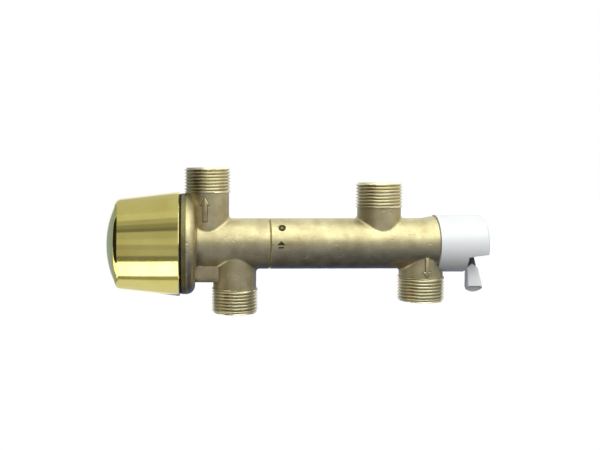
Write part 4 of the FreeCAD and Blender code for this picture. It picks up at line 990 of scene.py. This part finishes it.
class RegulatorStageSet(bpy.types.Operator):
    """Sets the floor, the light and the camera"""

    bl_idname = "regulator.stage"
    bl_label = "Stage"

    def execute(self, context):
        stage = context.scene.regulator_stage
        self.set_floor(stage)
        self.set_world(context, stage)
        self.set_key(context, stage)
        self.set_cards(stage)
        self.set_camera(context, stage)
        context.scene.view_settings.view_transform = "Standard"
        return {"FINISHED"}

    def seen_rays(self, tree):
        """One for camera, glossy and transmission rays."""
        path = add_node(tree, "ShaderNodeLightPath").outputs
        either = add_node(tree, "ShaderNodeMath", {
            0: path["Is Camera Ray"], 1: path["Is Glossy Ray"]}, operation="MAXIMUM")
        every = add_node(tree, "ShaderNodeMath", {
            0: either.outputs[0], 1: path["Is Transmission Ray"]}, operation="MAXIMUM")
        return every.outputs[0]

    def set_floor(self, stage):
        """A pale floor that a camera or metal sees near white, with the part's shadow on it."""
        bm = bmesh.new()
        half_width = 12.0
        bmesh.ops.create_grid(bm, x_segments=1, y_segments=1, size=half_width)
        bmesh.ops.translate(bm, verts=bm.verts, vec=(0, 0, -stage.floor_drop))
        paper = bpy.data.materials.new("pale_studio_paper")
        tree = new_tree(paper)
        lift = add_node(tree, "ShaderNodeMapRange", {"Value": self.seen_rays(tree), "To Max": 0.35})
        shader = add_node(tree, "ShaderNodeBsdfPrincipled", {
            "Base Color": (0.84, 0.84, 0.84, 1), "Roughness": 0.9, "Emission Color": WHITE,
            "Emission Strength": lift.outputs["Result"]})
        add_node(tree, "ShaderNodeOutputMaterial", {"Surface": shader.outputs["BSDF"]})
        floor = stage_piece("floor", bm, paper)
        floor.visible_diffuse = False

    def set_world(self, context, stage):
        """White behind everything, soft and plain as a light."""
        world = bpy.data.worlds.new("studio")
        tree = new_tree(world)
        level = add_node(tree, "ShaderNodeMapRange", {
            "Value": self.seen_rays(tree), "To Min": stage.fill_level})
        sky = add_node(tree, "ShaderNodeBackground", {
            "Color": WHITE, "Strength": level.outputs["Result"]})
        add_node(tree, "ShaderNodeOutputWorld", {"Surface": sky.outputs["Background"]})
        context.scene.world = world

    def set_key(self, context, stage):
        """One broad soft light from above the viewer. The cards stand for it in metal."""
        lamp = bpy.data.lights.new("key", "SUN")
        lamp.energy = stage.key_strength
        lamp.angle = stage.key_softness
        key = bpy.data.objects.new("key", lamp)
        falls = Vector((-0.10, 0.70, -0.72))
        key.rotation_euler = falls.to_track_quat("-Z", "Y").to_euler()
        key.visible_glossy = False
        context.scene.collection.objects.link(key)

    def set_cards(self, stage):
        """Grey, white and dark cards: bands for the cover, a bright top and a dark underside for the rest."""
        reach, left, split, right = stage.card_reach, stage.card_left, stage.card_split, stage.card_right
        for name, first, last, level in (
            ("cover_behind_above", 80, 150, 0.55),
            ("cover_above", 62, 80, 0.62),
            ("cover_fading", 50, 62, 0.42),
            ("cover_faded", 40, 50, 0.27),
            ("cover_upper_line", 32, 40, 0.17),
            ("cover_front_above", 15, 32, 0.45),
            ("cover_front", 2, 15, 0.53),
            ("cover_front_line", -9, 2, 0.38),
            ("cover_front_under", -23, -9, 0.43),
            ("cover_lower_line", -37, -23, 0.20),
            ("cover_white", -78, -37, 2.60),
            ("cover_under_line", -94, -78, 0.28),
            ("cover_behind", -180, -94, 0.72),
        ):
            bent_card(name, reach, (first, last), (left, split), level, fan=0.25)
        for name, first, last, level, tint in (
            ("tube_behind_above", 88, 150, 1.50, LEMON),
            ("tube_above", 22, 88, 3.35, LEMON),
            ("tube_front", -22, 22, 0.48, FAINTLY_COOL),
            ("tube_low_front", -50, -22, 0.16, BLUE_SHADE),
            ("tube_under", -125, -50, 0.03, BLUE_SHADE),
            ("tube_behind_under", -180, -125, 0.22, BLUE_SHADE),
        ):
            bent_card(name, reach, (first, last), (split, right), level, tint)
        # A flag before the cover's white card keeps the card's light off the left casting's underside.
        flag_reach = 0.98 * reach
        bent_card("white_flag", flag_reach, (-80, -27), (stage.flag_left, split), 0.08, BLUE_SHADE)
        for name, first, last, x, level, tint in (
            ("flag", -48, 80, left, 0.02, WHITE),
            ("flag_above", 80, 90, left, 0.50, WHITE),
            ("flag_white", -84, -48, left, 1.60, WHITE),
            ("flag_under", -90, -84, left, 0.30, WHITE),
            ("dome_card", 90, 270, left, 0.42, COOL),
            ("right_above", 0, 180, right, 1.30, WHITE),
            ("right_under", -180, 0, right, 0.30, COOL),
        ):
            end_card(name, reach, (first, last), x, level, tint)

    def set_camera(self, context, stage):
        """The photograph's viewpoint: turned a little to the cover, and shifted to frame the whole part."""
        data = bpy.data.cameras.new("camera")
        camera = bpy.data.objects.new("camera", data)
        eye = Vector(stage.eye)
        turned = (Vector(stage.sight) - eye).to_track_quat("-Z", "Y")
        camera.location = eye
        camera.rotation_euler = turned.to_euler()
        middle = turned.inverted() @ (Vector(stage.middle) - eye)
        data.sensor_width = 36.0
        data.lens = data.sensor_width * -middle.z / stage.picture_width
        data.shift_x = middle.x / stage.picture_width
        data.shift_y = middle.y / stage.picture_width
        data.clip_start, data.clip_end = 0.01, 100.0
        context.scene.collection.objects.link(camera)
        context.scene.camera = camera


class VIEW3D_PT_regulator(bpy.types.Panel):
    """Lists the regulator's steps and settings"""

    bl_label = "Regulator"
    bl_space_type = "VIEW_3D"
    bl_region_type = "UI"
    bl_category = "Regulator"

    def draw(self, context):
        column = self.layout.column()
        for step in STEPS:
            column.operator(step.bl_idname)
        for group_name in GROUPS:
            group = getattr(context.scene, group_name)
            box = self.layout.box()
            for name in group.__annotations__:
                box.prop(group, name)


GROUPS = {
    "regulator_sizes": RegulatorSizes,
    "regulator_finishes": RegulatorFinishes,
    "regulator_stage": RegulatorStage,
}
STEPS = (
    RegulatorCastings, RegulatorThreads, RegulatorCover, RegulatorMarks, RegulatorHandle, RegulatorSoftParts,
    RegulatorInnerParts, RegulatorStageSet)


def register():
    for group in GROUPS.values():
        bpy.utils.register_class(group)
    for name, group in GROUPS.items():
        setattr(bpy.types.Scene, name, PointerProperty(type=group))
    for step in (*STEPS, VIEW3D_PT_regulator):
        bpy.utils.register_class(step)


def unregister():
    for step in (VIEW3D_PT_regulator, *reversed(STEPS)):
        bpy.utils.unregister_class(step)
    for name in GROUPS:
        delattr(bpy.types.Scene, name)
    for group in reversed(GROUPS.values()):
        bpy.utils.unregister_class(group)


def main():
    register()
    bpy.ops.regulator.castings()
    bpy.ops.regulator.threads()
    bpy.ops.regulator.cover()
    bpy.ops.regulator.marks()
    bpy.ops.regulator.handle()
    bpy.ops.regulator.soft_parts()
    bpy.ops.regulator.inner_parts()
    bpy.ops.regulator.stage()


if __name__ == "__main__":
    main()
